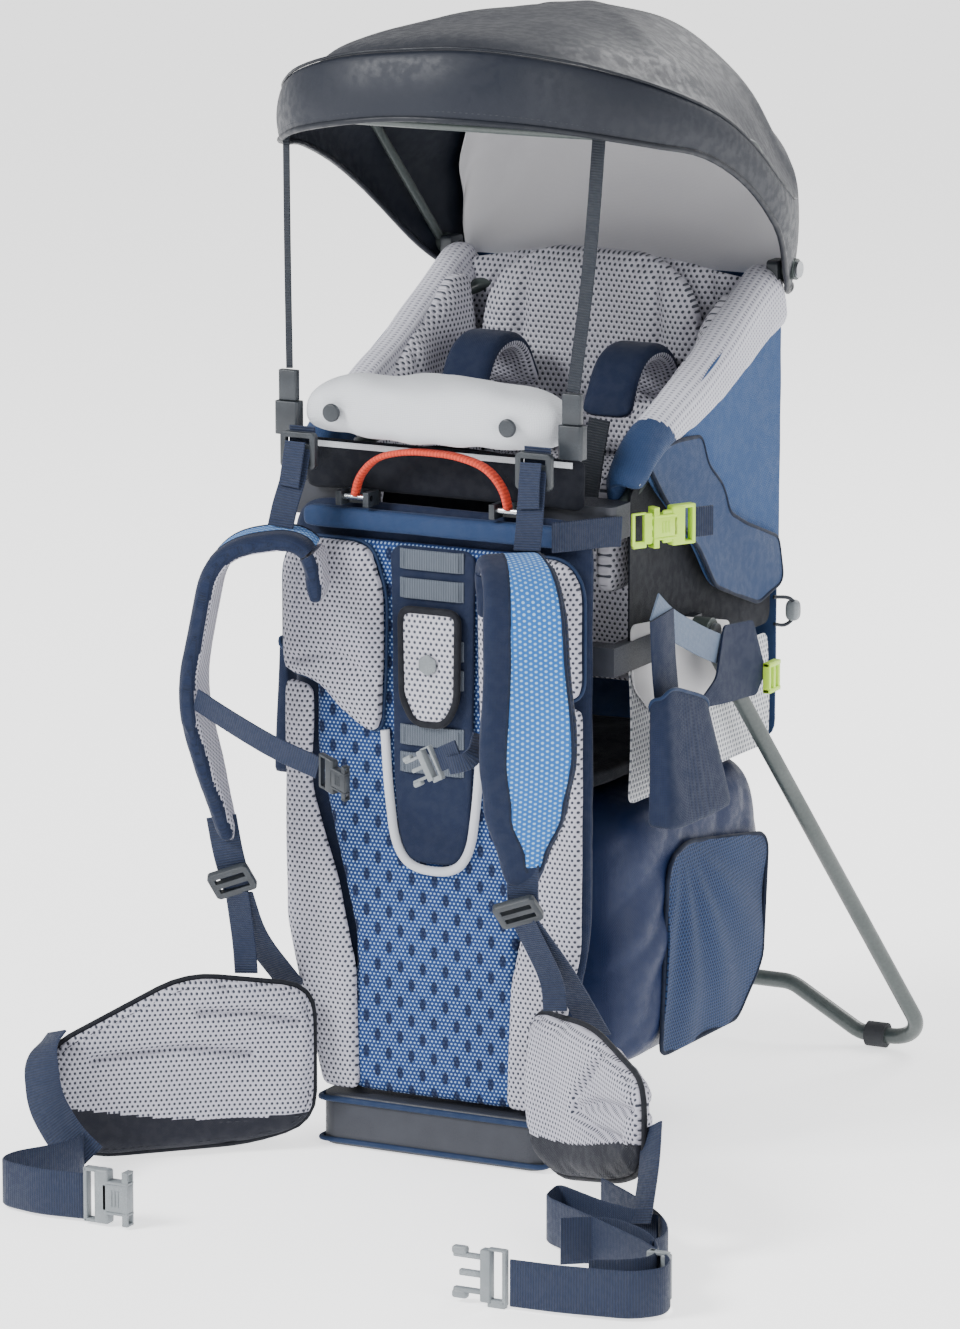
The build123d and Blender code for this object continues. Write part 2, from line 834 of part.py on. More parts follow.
with BuildPart() as canopy_sockets:
    for side, _ in SIDES:
        with BuildSketch(side_plane(side * 148)):
            with Locations((canopy_y - 5, canopy_z - 1)):
                RectangleRounded(22, 18, 4)
            with Locations((canopy_y, canopy_z)):
                Circle(3.02, mode=Mode.SUBTRACT)
        extrude(amount=side * 10.5)
save(canopy_sockets, "canopy_sockets")

# The tension straps hold the brim forward and unclip at the chin pad before the canopy folds.
strap_top = (145, 20, 829)
strap_low = (129, -4, 650)
with BuildPart() as canopy_straps:
    for side, _ in SIDES:
        start = (side * strap_top[0], strap_top[1], strap_top[2])
        end = (side * strap_low[0], strap_low[1], strap_low[2])
        with BuildSketch(strap_plane(start, end, (1, 0.5, 0))):
            with Locations((span(start, end) / 2, 0)):
                Rectangle(span(start, end), 12)
        extrude(amount=0.8, both=True)
save(canopy_straps, "canopy_straps")

with BuildPart() as canopy_clips:
    with BuildSketch(Plane.XY.offset(624)):
        with Locations((-strap_low[0], -5), (strap_low[0], -5)):
            RectangleRounded(17, 7, 2)
    extrude(amount=25)
save(canopy_clips, "canopy_clips")

with BuildPart() as clip_loops:
    with BuildSketch(Plane.XY.offset(596)):
        with Locations((-strap_low[0], -5), (strap_low[0], -5)):
            RectangleRounded(22, 12, 3)
    extrude(amount=27.5)
save(clip_loops, "clip_loops")

# ---------------------------------------------------------------- hinge pins
# Each row is a turned length of pin: where it stands in Y and Z, its radius, and its run along X.
pin_lengths = (
    (pivot_y, pivot_z, pin_radius, arm_inner_x - 4, eye_outer_x + 5),
    (pivot_y, pivot_z, 8, arm_inner_x - 4, arm_inner_x),
    (pivot_y, pivot_z, 8, eye_outer_x + 1.8, eye_outer_x + 5),
    (handle_y, handle_z, 2.5, handle_x - 15, handle_x + 15),
    (canopy_y, canopy_z, 3, 150, 172),
    (canopy_y, canopy_z, 7, 169.4, 172),
)
with BuildPart() as hinge_pins:
    for side, _ in SIDES:
        for pin_y, pin_z, radius, near, far in pin_lengths:
            with BuildSketch(side_plane(side * near)):
                with Locations((pin_y, pin_z)):
                    Circle(radius)
            extrude(amount=side * (far - near))
save(hinge_pins, "hinge_pins")
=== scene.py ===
# %% [markdown]
# # Dressing a framed baby carrier in Blender
# The carrier is a bent tube frame with a lot of sewn goods on it: pads of spacer mesh, a canopy, a bag,
# straps and buckles. The tubes, pins and feet come from the imported frame and only get a finish here.
# Everything that is sewn is made new in this file, because cloth needs thickness, seams and a weave.
# First the frame is loaded.

import math

import bmesh
import bpy
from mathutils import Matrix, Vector, noise


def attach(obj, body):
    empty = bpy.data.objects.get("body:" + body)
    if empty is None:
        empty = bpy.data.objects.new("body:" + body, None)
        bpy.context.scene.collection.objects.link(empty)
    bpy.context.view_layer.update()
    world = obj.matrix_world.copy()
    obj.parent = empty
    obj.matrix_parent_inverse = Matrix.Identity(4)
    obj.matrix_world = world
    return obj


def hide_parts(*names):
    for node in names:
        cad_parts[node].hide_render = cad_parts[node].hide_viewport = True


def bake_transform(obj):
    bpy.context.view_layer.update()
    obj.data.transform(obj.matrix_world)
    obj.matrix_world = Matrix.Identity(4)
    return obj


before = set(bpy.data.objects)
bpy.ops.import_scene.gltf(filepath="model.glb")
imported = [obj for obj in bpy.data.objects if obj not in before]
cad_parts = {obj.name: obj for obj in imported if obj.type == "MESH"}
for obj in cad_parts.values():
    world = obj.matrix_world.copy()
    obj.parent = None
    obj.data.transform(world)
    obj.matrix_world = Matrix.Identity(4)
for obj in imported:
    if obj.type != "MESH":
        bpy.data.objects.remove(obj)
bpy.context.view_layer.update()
MM = 0.001

# %% [markdown]
# ## Camera, floor and light
# The camera stands low and to the right, far away with a long lens, as for a catalogue picture. The floor
# is a plain pale sheet that reaches far behind, and three big soft lights leave only faint shadows.


# %% Camera
camera_data = bpy.data.cameras.new("catalogue_camera")
camera = bpy.data.objects.new("catalogue_camera", camera_data)
bpy.context.collection.objects.link(camera)
camera.location = Vector((2674, -5128, 1625)) * MM
aim = Vector((-7, 98, 396)) * MM - camera.location
camera.rotation_euler = aim.to_track_quat("-Z", "Y").to_euler()
camera_data.sensor_fit = "VERTICAL"
camera_data.sensor_height = 36
camera_data.lens = 196.7
camera_data.clip_end = 60
bpy.context.scene.camera = camera
print("camera", tuple(round(x, 2) for x in camera.location))


# %% Floor and lights
def select_only(*objects):
    """Leaves just these objects selected, and makes the first one active."""
    bpy.ops.object.select_all(action="DESELECT")
    for item in objects:
        item.select_set(True)
    bpy.context.view_layer.objects.active = objects[0]


bpy.ops.object.select_all(action="DESELECT")
bpy.ops.mesh.primitive_plane_add(size=60, location=(0, 0, -0.0006))
floor = bpy.context.object
floor.name = "studio_floor"
floor_paint = bpy.data.materials.new("studio_white")
floor_paint.use_nodes = True
floor_shader = floor_paint.node_tree.nodes["Principled BSDF"]
floor_shader.inputs["Base Color"].default_value = (0.95, 0.95, 0.95, 1)
floor_shader.inputs["Roughness"].default_value = 0.9
floor_shader.inputs["Emission Color"].default_value = (1, 1, 1, 1)
floor_shader.inputs["Emission Strength"].default_value = 1.3
floor.data.materials.append(floor_paint)


def soft_light(name, place, size, power):
    """A square area light that looks at the middle of the carrier."""
    lamp = bpy.data.lights.new(name, "AREA")
    lamp.size, lamp.energy = size, power
    holder = bpy.data.objects.new(name, lamp)
    bpy.context.collection.objects.link(holder)
    holder.location = place
    holder.rotation_euler = (Vector((0, 0.1, 0.45)) - Vector(place)).to_track_quat("-Z", "Y").to_euler()
    return holder


soft_light("key_light", (-1.9, -2.7, 2.9), 1.4, 215)
soft_light("fill_light", (3.2, -1.6, 1.8), 2.0, 60)
soft_light("back_light", (0.6, 3.0, 2.6), 2.0, 90)
sky = bpy.data.worlds.new("studio_air")
bpy.context.scene.world = sky
sky.use_nodes = True
sky.node_tree.nodes["Background"].inputs["Color"].default_value = (1, 1, 1, 1)
sky.node_tree.nodes["Background"].inputs["Strength"].default_value = 0.75
print("three lights and a pale room")

# %% [markdown]
# ## Finishes
# Cloth is told apart by its structure before its colour. Spacer mesh is a field of small open holes in staggered
# rows, plain cloth is a fine over-and-under weave, and webbing is ribs across a strap. The holes and the weave are
# node groups, built once, that give a mask or a height; the webbing ribs are made inside their own finish. Each
# finish places the groups it needs with its own sizes, and keeps its shader outside them.
# Patterns read the flat cloth map of a piece, in metres, so that they follow every bend of the cloth.


# %% Small helpers for node trees
def colour(code):
    """A colour written like #AABBCC, as the linear values that a shader wants."""
    parts = [int(code[i : i + 2], 16) / 255 for i in (1, 3, 5)]
    return tuple(((c + 0.055) / 1.055) ** 2.4 if c > 0.04045 else c / 12.92 for c in parts) + (1.0,)


def wire(tree, socket, value):
    """Links an output to the socket, or sets the socket to a plain value."""
    if isinstance(value, bpy.types.NodeSocket):
        tree.links.new(value, socket)
    else:
        socket.default_value = value


def calc(tree, operation, *values):
    node = tree.nodes.new("ShaderNodeMath")
    node.operation = operation
    for socket, value in zip(node.inputs, values):
        wire(tree, socket, value)
    return node.outputs[0]


def blend_colour(tree, amount, first, second, how="MIX"):
    node = tree.nodes.new("ShaderNodeMix")
    node.data_type, node.blend_type = "RGBA", how
    wire(tree, node.inputs[0], amount)
    wire(tree, node.inputs[6], first)
    wire(tree, node.inputs[7], second)
    return node.outputs[2]


def ramp(tree, value, low, high, out_low=0.0, out_high=1.0):
    node = tree.nodes.new("ShaderNodeMapRange")
    node.interpolation_type = "SMOOTHSTEP"
    for socket, v in zip(node.inputs, (value, low, high, out_low, out_high)):
        wire(tree, socket, v)
    return node.outputs[0]


def new_group(name, inputs, outputs):
    """A shader node group with named sockets, and its input and output nodes."""
    group = bpy.data.node_groups.new(name, "ShaderNodeTree")
    for label, kind, start in inputs:
        socket = group.interface.new_socket(label, in_out="INPUT", socket_type=kind)
        if start is not None:
            socket.default_value = start
    for label in outputs:
        group.interface.new_socket(label, in_out="OUTPUT", socket_type="NodeSocketFloat")
    return group, group.nodes.new("NodeGroupInput"), group.nodes.new("NodeGroupOutput")


# %% Group: staggered rows of holes
rows_group, gin, gout = new_group(
    "Staggered rows",
    [
        ("Vector", "NodeSocketVector", None),
        ("Pitch across", "NodeSocketFloat", 0.004),
        ("Pitch along", "NodeSocketFloat", 0.004),
        ("Width", "NodeSocketFloat", 0.3),
        ("Height", "NodeSocketFloat", 0.3),
    ],
    ["Hole", "Rim"],
)
axes = rows_group.nodes.new("ShaderNodeSeparateXYZ")
rows_group.links.new(gin.outputs["Vector"], axes.inputs[0])
along = calc(rows_group, "DIVIDE", axes.outputs[1], gin.outputs["Pitch along"])
odd = calc(rows_group, "FLOORED_MODULO", calc(rows_group, "FLOOR", along), 2.0)
across = calc(rows_group, "DIVIDE", axes.outputs[0], gin.outputs["Pitch across"])
across = calc(rows_group, "ADD", across, calc(rows_group, "MULTIPLY", odd, 0.5))
off_x = calc(rows_group, "SUBTRACT", calc(rows_group, "FRACT", across), 0.5)
off_y = calc(rows_group, "SUBTRACT", calc(rows_group, "FRACT", along), 0.5)
off_x = calc(
    rows_group, "POWER", calc(rows_group, "ABSOLUTE", calc(rows_group, "DIVIDE", off_x, gin.outputs["Width"])), 2.0
)
off_y = calc(
    rows_group, "POWER", calc(rows_group, "ABSOLUTE", calc(rows_group, "DIVIDE", off_y, gin.outputs["Height"])), 2.0
)
away = calc(rows_group, "SQRT", calc(rows_group, "ADD", off_x, off_y))
rows_group.links.new(ramp(rows_group, away, 0.75, 1.1, 1.0, 0.0), gout.inputs["Hole"])
rows_group.links.new(ramp(rows_group, away, 0.8, 1.7, 0.0, 1.0), gout.inputs["Rim"])

# %% Group: over-and-under weave
weave_group, gin, gout = new_group(
    "Plain weave",
    [("Vector", "NodeSocketVector", None), ("Pitch", "NodeSocketFloat", 0.001)],
    ["Yarn", "Warp"],
)
axes = weave_group.nodes.new("ShaderNodeSeparateXYZ")
weave_group.links.new(gin.outputs["Vector"], axes.inputs[0])
warp = calc(weave_group, "DIVIDE", axes.outputs[0], gin.outputs["Pitch"])
weft = calc(weave_group, "DIVIDE", axes.outputs[1], gin.outputs["Pitch"])
turn = calc(weave_group, "ADD", calc(weave_group, "FLOOR", warp), calc(weave_group, "FLOOR", weft))
turn = calc(weave_group, "FLOORED_MODULO", turn, 2.0)
hump_a = calc(weave_group, "ABSOLUTE", calc(weave_group, "SINE", calc(weave_group, "MULTIPLY", warp, math.pi)))
hump_b = calc(weave_group, "ABSOLUTE", calc(weave_group, "SINE", calc(weave_group, "MULTIPLY", weft, math.pi)))
part_a = calc(weave_group, "MULTIPLY", hump_a, turn)
part_b = calc(weave_group, "MULTIPLY", hump_b, calc(weave_group, "SUBTRACT", 1.0, turn))
weave_group.links.new(calc(weave_group, "ADD", part_a, part_b), gout.inputs["Yarn"])
weave_group.links.new(turn, gout.inputs["Warp"])

# %% Group: soft unevenness of dyed and handled things
fade_group, gin, gout = new_group(
    "Handling",
    [("Vector", "NodeSocketVector", None), ("Size", "NodeSocketFloat", 12.0)],
    ["Broad", "Fine"],
)
for label, times, detail in (("Broad", 1.0, 3.0), ("Fine", 14.0, 2.0)):
    cloud = fade_group.nodes.new("ShaderNodeTexNoise")
    cloud.inputs["Detail"].default_value = detail
    fade_group.links.new(gin.outputs["Vector"], cloud.inputs["Vector"])
    wire(fade_group, cloud.inputs["Scale"], calc(fade_group, "MULTIPLY", gin.outputs["Size"], times))
    fade_group.links.new(ramp(fade_group, cloud.outputs["Fac"], 0.3, 0.7), gout.inputs[label])
print("groups:", [g.name for g in (rows_group, weave_group, fade_group)])


# %% What every finish starts from
def start_finish(name, flat_map=True):
    """A material with its shader and the coordinates that its patterns read."""
    material = bpy.data.materials.new(name)
    material.use_nodes = True
    tree = material.node_tree
    shader = tree.nodes["Principled BSDF"]
    if flat_map:
        place = tree.nodes.new("ShaderNodeUVMap")
        place.uv_map = "cloth"
        coords = place.outputs[0]
    else:
        place = tree.nodes.new("ShaderNodeTexCoord")
        coords = place.outputs["Object"]
    return material, tree, shader, coords


def use_group(tree, group, coords, **values):
    node = tree.nodes.new("ShaderNodeGroup")
    node.node_tree = group
    tree.links.new(coords, node.inputs["Vector"])
    for label, value in values.items():
        node.inputs[label.replace("_", " ").capitalize()].default_value = value
    return node.outputs


def give_bump(tree, shader, height, strength, distance):
    bump = tree.nodes.new("ShaderNodeBump")
    bump.inputs["Strength"].default_value = strength
    bump.inputs["Distance"].default_value = distance
    tree.links.new(height, bump.inputs["Height"])
    tree.links.new(bump.outputs[0], shader.inputs["Normal"])


def object_coords(tree):
    return tree.nodes.new("ShaderNodeTexCoord").outputs["Object"]


# %% Finish: plain woven cloth
def plain_cloth(name, main, dark, pitch=0.0011, rough=0.82, sheen=0.25, bump=0.35, flat_map=True):
    """Plain woven pack cloth: a fine weave, and broad soft patches where it is rubbed."""
    material, tree, shader, coords = start_finish(name, flat_map)
    weave = use_group(tree, weave_group, coords, Pitch=pitch)
    worn = use_group(tree, fade_group, object_coords(tree), Size=9.0)
    yarn = ramp(tree, weave["Yarn"], 0.1, 0.9)
    tint = blend_colour(tree, yarn, colour(dark), colour(main))
    tint = blend_colour(tree, calc(tree, "MULTIPLY", worn["Broad"], 0.22), tint, colour(dark))
    tree.links.new(tint, shader.inputs["Base Color"])
    tree.links.new(ramp(tree, worn["Fine"], 0.0, 1.0, rough - 0.08, rough + 0.06), shader.inputs["Roughness"])
    shader.inputs["Sheen Weight"].default_value = sheen * 0.25
    shader.inputs["Sheen Roughness"].default_value = 0.4
    shader.inputs["Specular IOR Level"].default_value = 0.25 if rough > 0.6 else 0.3
    give_bump(tree, shader, weave["Yarn"], bump, 0.0006)
    return material


# %% Finish: spacer mesh with holes
def spacer_mesh(name, main, shade, hole, pitch=(0.0044, 0.0040), size=(0.27, 0.33), sheen=0.35, bump=0.6):
    """Two knitted faces held apart by threads: open holes in staggered rows over a darker core."""
    material, tree, shader, coords = start_finish(name)
    rows = use_group(
        tree, rows_group, coords,
        Pitch_across=pitch[0], Pitch_along=pitch[1], Width=size[0], Height=size[1],
    )
    knit = use_group(tree, weave_group, coords, Pitch=0.0007)
    worn = use_group(tree, fade_group, object_coords(tree), Size=14.0)
    face = blend_colour(tree, calc(tree, "MULTIPLY", worn["Broad"], 0.35), colour(main), colour(shade))
    face = blend_colour(tree, calc(tree, "MULTIPLY", knit["Yarn"], 0.25), face, colour(main))
    tint = blend_colour(tree, rows["Hole"], face, colour(hole))
    tree.links.new(tint, shader.inputs["Base Color"])
    shader.inputs["Roughness"].default_value = 0.88
    shader.inputs["Sheen Weight"].default_value = sheen * 0.3
    shader.inputs["Specular IOR Level"].default_value = 0.2
    relief = calc(tree, "ADD", rows["Rim"], calc(tree, "MULTIPLY", knit["Yarn"], 0.12))
    give_bump(tree, shader, relief, bump, 0.0011)
    return material


# %% Finish: webbing
def webbing_look(name, main, dark, rib=0.0022, rough=0.6):
    """Flat woven strap: ribs straight across it, and a finer twill on them."""
    material, tree, shader, coords = start_finish(name)
    axes = tree.nodes.new("ShaderNodeSeparateXYZ")
    tree.links.new(coords, axes.inputs[0])
    wave = calc(tree, "SINE", calc(tree, "MULTIPLY", axes.outputs[0], 2 * math.pi / rib))
    slant = calc(tree, "ADD", calc(tree, "MULTIPLY", axes.outputs[0], 1.0), axes.outputs[1])
    twill = calc(tree, "SINE", calc(tree, "MULTIPLY", slant, 2 * math.pi / 0.0016))
    relief = calc(tree, "ADD", calc(tree, "MULTIPLY", wave, 0.5), calc(tree, "MULTIPLY", twill, 0.35))
    worn = use_group(tree, fade_group, object_coords(tree), Size=20.0)
    mask = ramp(tree, relief, -0.7, 0.6)
    tint = blend_colour(tree, mask, colour(dark), colour(main))
    tint = blend_colour(tree, calc(tree, "MULTIPLY", worn["Broad"], 0.2), tint, colour(dark))
    tree.links.new(tint, shader.inputs["Base Color"])
    tree.links.new(ramp(tree, worn["Fine"], 0.0, 1.0, rough - 0.07, rough + 0.08), shader.inputs["Roughness"])
    shader.inputs["Sheen Weight"].default_value = 0.03
    shader.inputs["Specular IOR Level"].default_value = 0.3
    give_bump(tree, shader, relief, 0.5, 0.0007)
    return material


# %% Finish: moulded plastic and painted tube
def moulded(name, main, light, rough=0.42, grain=0.25):
    """Injection moulded nylon: a fine spark grain, and paler scuffs where hands touch it."""
    material, tree, shader, coords = start_finish(name, flat_map=False)
    worn = use_group(tree, fade_group, coords, Size=60.0)
    scuff = calc(tree, "MULTIPLY", calc(tree, "MULTIPLY", worn["Broad"], worn["Fine"]), 0.35)
    tree.links.new(blend_colour(tree, scuff, colour(main), colour(light)), shader.inputs["Base Color"])
    tree.links.new(ramp(tree, worn["Fine"], 0.0, 1.0, rough - 0.07, rough + 0.1), shader.inputs["Roughness"])
    speck = tree.nodes.new("ShaderNodeTexNoise")
    speck.inputs["Scale"].default_value = 1400
    tree.links.new(coords, speck.inputs["Vector"])
    give_bump(tree, shader, speck.outputs["Fac"], grain, 0.0002)
    return material


def painted(name, main, light, rough=0.45, metal=0.0, coat=0.3):
    """Powder coat or anodised tube: a faint orange peel and a thin clear gloss."""
    material, tree, shader, coords = start_finish(name, flat_map=False)
    worn = use_group(tree, fade_group, coords, Size=25.0)
    tree.links.new(
        blend_colour(tree, calc(tree, "MULTIPLY", worn["Fine"], 0.25), colour(main), colour(light)),
        shader.inputs["Base Color"],
    )
    shader.inputs["Metallic"].default_value = metal
    tree.links.new(ramp(tree, worn["Broad"], 0.0, 1.0, rough - 0.08, rough + 0.08), shader.inputs["Roughness"])
    shader.inputs["Coat Weight"].default_value = coat
    peel = tree.nodes.new("ShaderNodeTexNoise")
    peel.inputs["Scale"].default_value = 700
    tree.links.new(coords, peel.inputs["Vector"])
    give_bump(tree, shader, peel.outputs["Fac"], 0.15, 0.0002)
    return material


# %% The carrier's own finishes
grey_mesh = spacer_mesh("pad_spacer_mesh", "#B3B2BE", "#9594A3", "#363943")
pale_mesh = spacer_mesh("head_rest_spacer_mesh", "#BEBDC7", "#A2A2AF", "#42454F", pitch=(0.0050, 0.0044))
strap_mesh = spacer_mesh(
    "strap_open_mesh", "#2A62A4", "#1D4B87", "#86ACD2", pitch=(0.0044, 0.0040), size=(0.24, 0.34), bump=0.4
)
pocket_mesh = spacer_mesh("pocket_mesh", "#1B3359", "#132547", "#0A162E", pitch=(0.0034, 0.0030), size=(0.3, 0.3))
navy_cloth = plain_cloth("navy_pack_cloth", "#17223C", "#0F182B")
slate_cloth = plain_cloth("slate_blue_pack_cloth", "#22395E", "#172946", rough=0.7)
# Near-black cloth; on the seat side linings it is painted shade.
ink_cloth = plain_cloth("inner_dark_cloth", "#0C101B", "#080B13")
charcoal_cloth = plain_cloth("charcoal_edge_cloth", "#1E202A", "#14161D")
canopy_cloth = plain_cloth(
    "canopy_coated_cloth", "#171C28", "#10141D", pitch=0.0008, rough=0.5, sheen=0.02, bump=0.12
)
canopy_pale = plain_cloth(
    "canopy_pale_lining", "#D9D8DA", "#C9C8CC", pitch=0.0009, rough=0.7, sheen=0.15, bump=0.15
)
chin_cloth = plain_cloth("chin_pad_fleece", "#CDD0D4", "#B9BCC3", pitch=0.0016, rough=0.9, sheen=0.6)
navy_web = webbing_look("navy_webbing", "#1A2743", "#10192C")
grey_web = webbing_look("grey_webbing", "#5A626D", "#3D444E")
stirrup_web = webbing_look("stirrup_webbing", "#66758C", "#4A586C")
orange_web = webbing_look("handle_webbing", "#D9442B", "#A8321F", rib=0.003)
dark_web = webbing_look("dark_webbing", "#1E242E", "#131820")
grey_plastic = moulded("grey_buckle_plastic", "#6E7478", "#9BA0A4")
dark_plastic = moulded("dark_lock_plastic", "#20252B", "#3F464D")
lime_plastic = moulded("lime_buckle_plastic", "#B4DC3C", "#CDEB68", rough=0.38)
base_plastic = moulded("base_tray_plastic", "#23262F", "#3B3F49", rough=0.55)
stand_paint = painted("stand_powder_coat", "#343C3B", "#4B5452", rough=0.5)
pin_steel = painted("pin_steel", "#A7AAAD", "#C3C6C9", rough=0.3, metal=1.0, coat=0.0)
foot_rubber = moulded("foot_rubber", "#24262A", "#3A3D42", rough=0.8, grain=0.4)
thread_pale = moulded("pale_thread", "#B9C0CC", "#D6DBE3", rough=0.8)
thread_dark = moulded("dark_thread", "#23262E", "#3B4049", rough=0.8)
print("finishes:", len(bpy.data.materials))

# %% [markdown]
# ## Ways of making sewn pieces
# A pad is cut flat, given a little thickness, blown up like a cushion by a short cloth simulation, and
# only then laid on its real curved place. Its flat shape is kept as the cloth map, so the mesh pattern
# bends with it. A strap is a thin band swept along a line, and a panel is a curved grid with a thickness.
# These few helpers do that for every piece.


# %% Lines
def bend(points, radius, closed=False, steps=5):
    """Rounds the corners of a line of points to about this radius."""
    line, count, out = [Vector(p) for p in points], len(points), []
    for i, p in enumerate(line):
        if not closed and i in (0, count - 1):
            out.append(p)
            continue
        back, on = line[i - 1] - p, line[(i + 1) % count] - p
        a = p + back.normalized() * min(radius, back.length * 0.49)
        b = p + on.normalized() * min(radius, on.length * 0.49)
        for k in range(steps + 1):
            t = k / steps
            out.append(a * (1 - t) ** 2 + p * (2 * t * (1 - t)) + b * t * t)
    return out


def evenly(points, step, closed=False):
    """The same line again, as points about one step apart."""
    line = list(points) + ([points[0]] if closed else [])
    runs = [(b - a).length for a, b in zip(line, line[1:])]
    total = sum(runs)
    count = max(2, round(total / step))
    out, i, passed = [], 0, 0.0
    for k in range(count + (0 if closed else 1)):
        want = total * k / count
        while i < len(runs) - 1 and passed + runs[i] < want:
            passed += runs[i]
            i += 1
        t = (want - passed) / runs[i] if runs[i] > 0 else 0
        out.append(line[i].lerp(line[i + 1], min(1, max(0, t))))
    return out


# %% Meshes from faces, and how a piece is finished
def cloth_object(name, corners, faces, flat):
    """A mesh of these faces, in millimetres, with a cloth map in metres. flat is one pair for each face corner."""
    mesh = bpy.data.meshes.new(name)
    mesh.from_pydata([tuple(c * MM for c in p) for p in corners], [], faces)
    layer = mesh.uv_layers.new(name="cloth")
    for loop, uv in zip(layer.data, flat):
        loop.uv = (uv[0] * MM, uv[1] * MM)
    item = bpy.data.objects.new(name, mesh)
    bpy.context.collection.objects.link(item)
    return item


def apply_modifier(item, name, kind, **settings):
    """Adds a modifier with these settings and makes it part of the mesh at once."""
    modifier = item.modifiers.new(name, kind)
    for key, value in settings.items():
        setattr(modifier, key, value)
    select_only(item)
    bpy.ops.object.modifier_apply(modifier=modifier.name)


def outwards(item):
    """Turns every face of a piece outwards."""
    select_only(item)
    bpy.ops.object.mode_set(mode="EDIT")
    bpy.ops.mesh.select_all(action="SELECT")
    bpy.ops.mesh.normals_make_consistent(inside=False)
    bpy.ops.object.mode_set(mode="OBJECT")


def settle(item, material, body, slot, *stands_for, angle=50):
    """Gives a finished piece its finish and its body, and hides the frame nodes it stands for. slot is not used."""
    if not item.data.materials:
        item.data.materials.append(material)
    select_only(item)
    bpy.ops.object.shade_smooth_by_angle(angle=math.radians(angle))
    if body:
        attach(item, body)
    if stands_for:
        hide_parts(*stands_for)
    return item


# %% A flat strap
def strap(name, line, across, width, thick=1.8, turn=8, step=3.0):
    """A woven band along a line. across is the way its width lies."""
    path = evenly(bend(line, turn), step)
    sides = [(-0.5, 0), (-0.47, 0.5), (0.47, 0.5), (0.5, 0), (0.47, -0.5), (-0.47, -0.5)]
    corners, faces, flat, gone = [], [], [], [0.0]
    for i, p in enumerate(path):
        way = (path[min(i + 1, len(path) - 1)] - path[max(i - 1, 0)]).normalized()
        side = Vector(across)
        side = (side - way * side.dot(way)).normalized()
        up = way.cross(side)
        corners += [p + side * (a * width) + up * (b * thick) for a, b in sides]
        if i:
            gone.append(gone[-1] + (p - path[i - 1]).length)
    for i in range(len(path) - 1):
        for k in range(6):
            m = (k + 1) % 6
            faces.append((i * 6 + k, i * 6 + m, i * 6 + 6 + m, i * 6 + 6 + k))
            flat += [(gone[i], sides[k][0] * width), (gone[i], sides[m][0] * width)]
            flat += [(gone[i + 1], sides[m][0] * width), (gone[i + 1], sides[k][0] * width)]
    last = len(corners) - 6
    faces += [tuple(range(5, -1, -1)), tuple(range(last, last + 6))]
    flat += [(0, 0)] * 12
    item = cloth_object(name, corners, faces, flat)
    outwards(item)
    return item


# %% A round cord or piping
def piping(name, line, radius, closed=False, step=3.0, turn=0):
    """A thin round welt along a line, as a closed mesh."""
    path = evenly(bend(line, turn, closed) if turn else [Vector(p) for p in line], step, closed)
    data = bpy.data.curves.new(name, "CURVE")
    data.dimensions, data.bevel_depth, data.bevel_resolution, data.use_fill_caps = "3D", radius * MM, 2, True
    run = data.splines.new("POLY")
    run.points.add(len(path) - 1)
    for point, p in zip(run.points, path):
        point.co = (*(p * MM), 1)
    run.use_cyclic_u = closed
    item = bpy.data.objects.new(name, data)
    bpy.context.collection.objects.link(item)
    select_only(item)
    bpy.ops.object.convert(target="MESH")
    item = bpy.context.object
    item.data.name = name
    outwards(item)
    return item


# %% A row of stitches
def stitches(name, line, long=3.2, gap=2.4, thick=0.55, closed=False):
    """Short raised threads in a row, all one mesh, each with only a few faces."""
    path = evenly([Vector(p) for p in line], long + gap, closed)
    mesh_maker, count = bmesh.new(), len(path)
    for i in range(count - (0 if closed else 1)):
        a, b = path[i], path[(i + 1) % count]
        way = (b - a).normalized()
        end = a + way * long
        side = way.orthogonal().normalized() * thick
        up = way.cross(side)
        rings = []
        for place, size in ((a, 0.45), (a.lerp(end, 0.25), 1), (a.lerp(end, 0.75), 1), (end, 0.45)):
            rings.append([mesh_maker.verts.new((place + d * size) * MM) for d in (side, up, -side, -up)])
        for r, s in zip(rings, rings[1:]):
            for k in range(4):
                mesh_maker.faces.new((r[k], r[(k + 1) % 4], s[(k + 1) % 4], s[k]))
        mesh_maker.faces.new(rings[0][::-1])
        mesh_maker.faces.new(rings[-1])
    bmesh.ops.recalc_face_normals(mesh_maker, faces=mesh_maker.faces)
    mesh = bpy.data.meshes.new(name)
    mesh_maker.to_mesh(mesh)
    mesh_maker.free()
    item = bpy.data.objects.new(name, mesh)
    bpy.context.collection.objects.link(item)
    return item


# %% A curved panel
def panel(name, place, across, along, size, around=False, thick=1.4, soften=1, offset=0.0):
    """A sheet from place(u, v), with u and v from 0 to 1. around joins its two sides into a ring."""
    corners = [place(i / across, j / along) for j in range(along + 1) for i in range(across + (0 if around else 1))]
    wide = across if around else across + 1
    faces, flat = [], []
    for j in range(along):
        for i in range(across):
            m = (i + 1) % wide
            faces.append((j * wide + i, j * wide + m, (j + 1) * wide + m, (j + 1) * wide + i))
            for u, v in ((i, j), (i + 1, j), (i + 1, j + 1), (i, j + 1)):
                flat.append((u / across * size[0], v / along * size[1]))
    item = cloth_object(name, [Vector(c) for c in corners], faces, flat)
    if soften:
        apply_modifier(item, "soften", "SUBSURF", levels=soften, render_levels=soften)
    apply_modifier(
        item, "cloth_thickness", "SOLIDIFY", thickness=thick * MM, offset=offset,
        use_even_offset=True,
    )
    return item


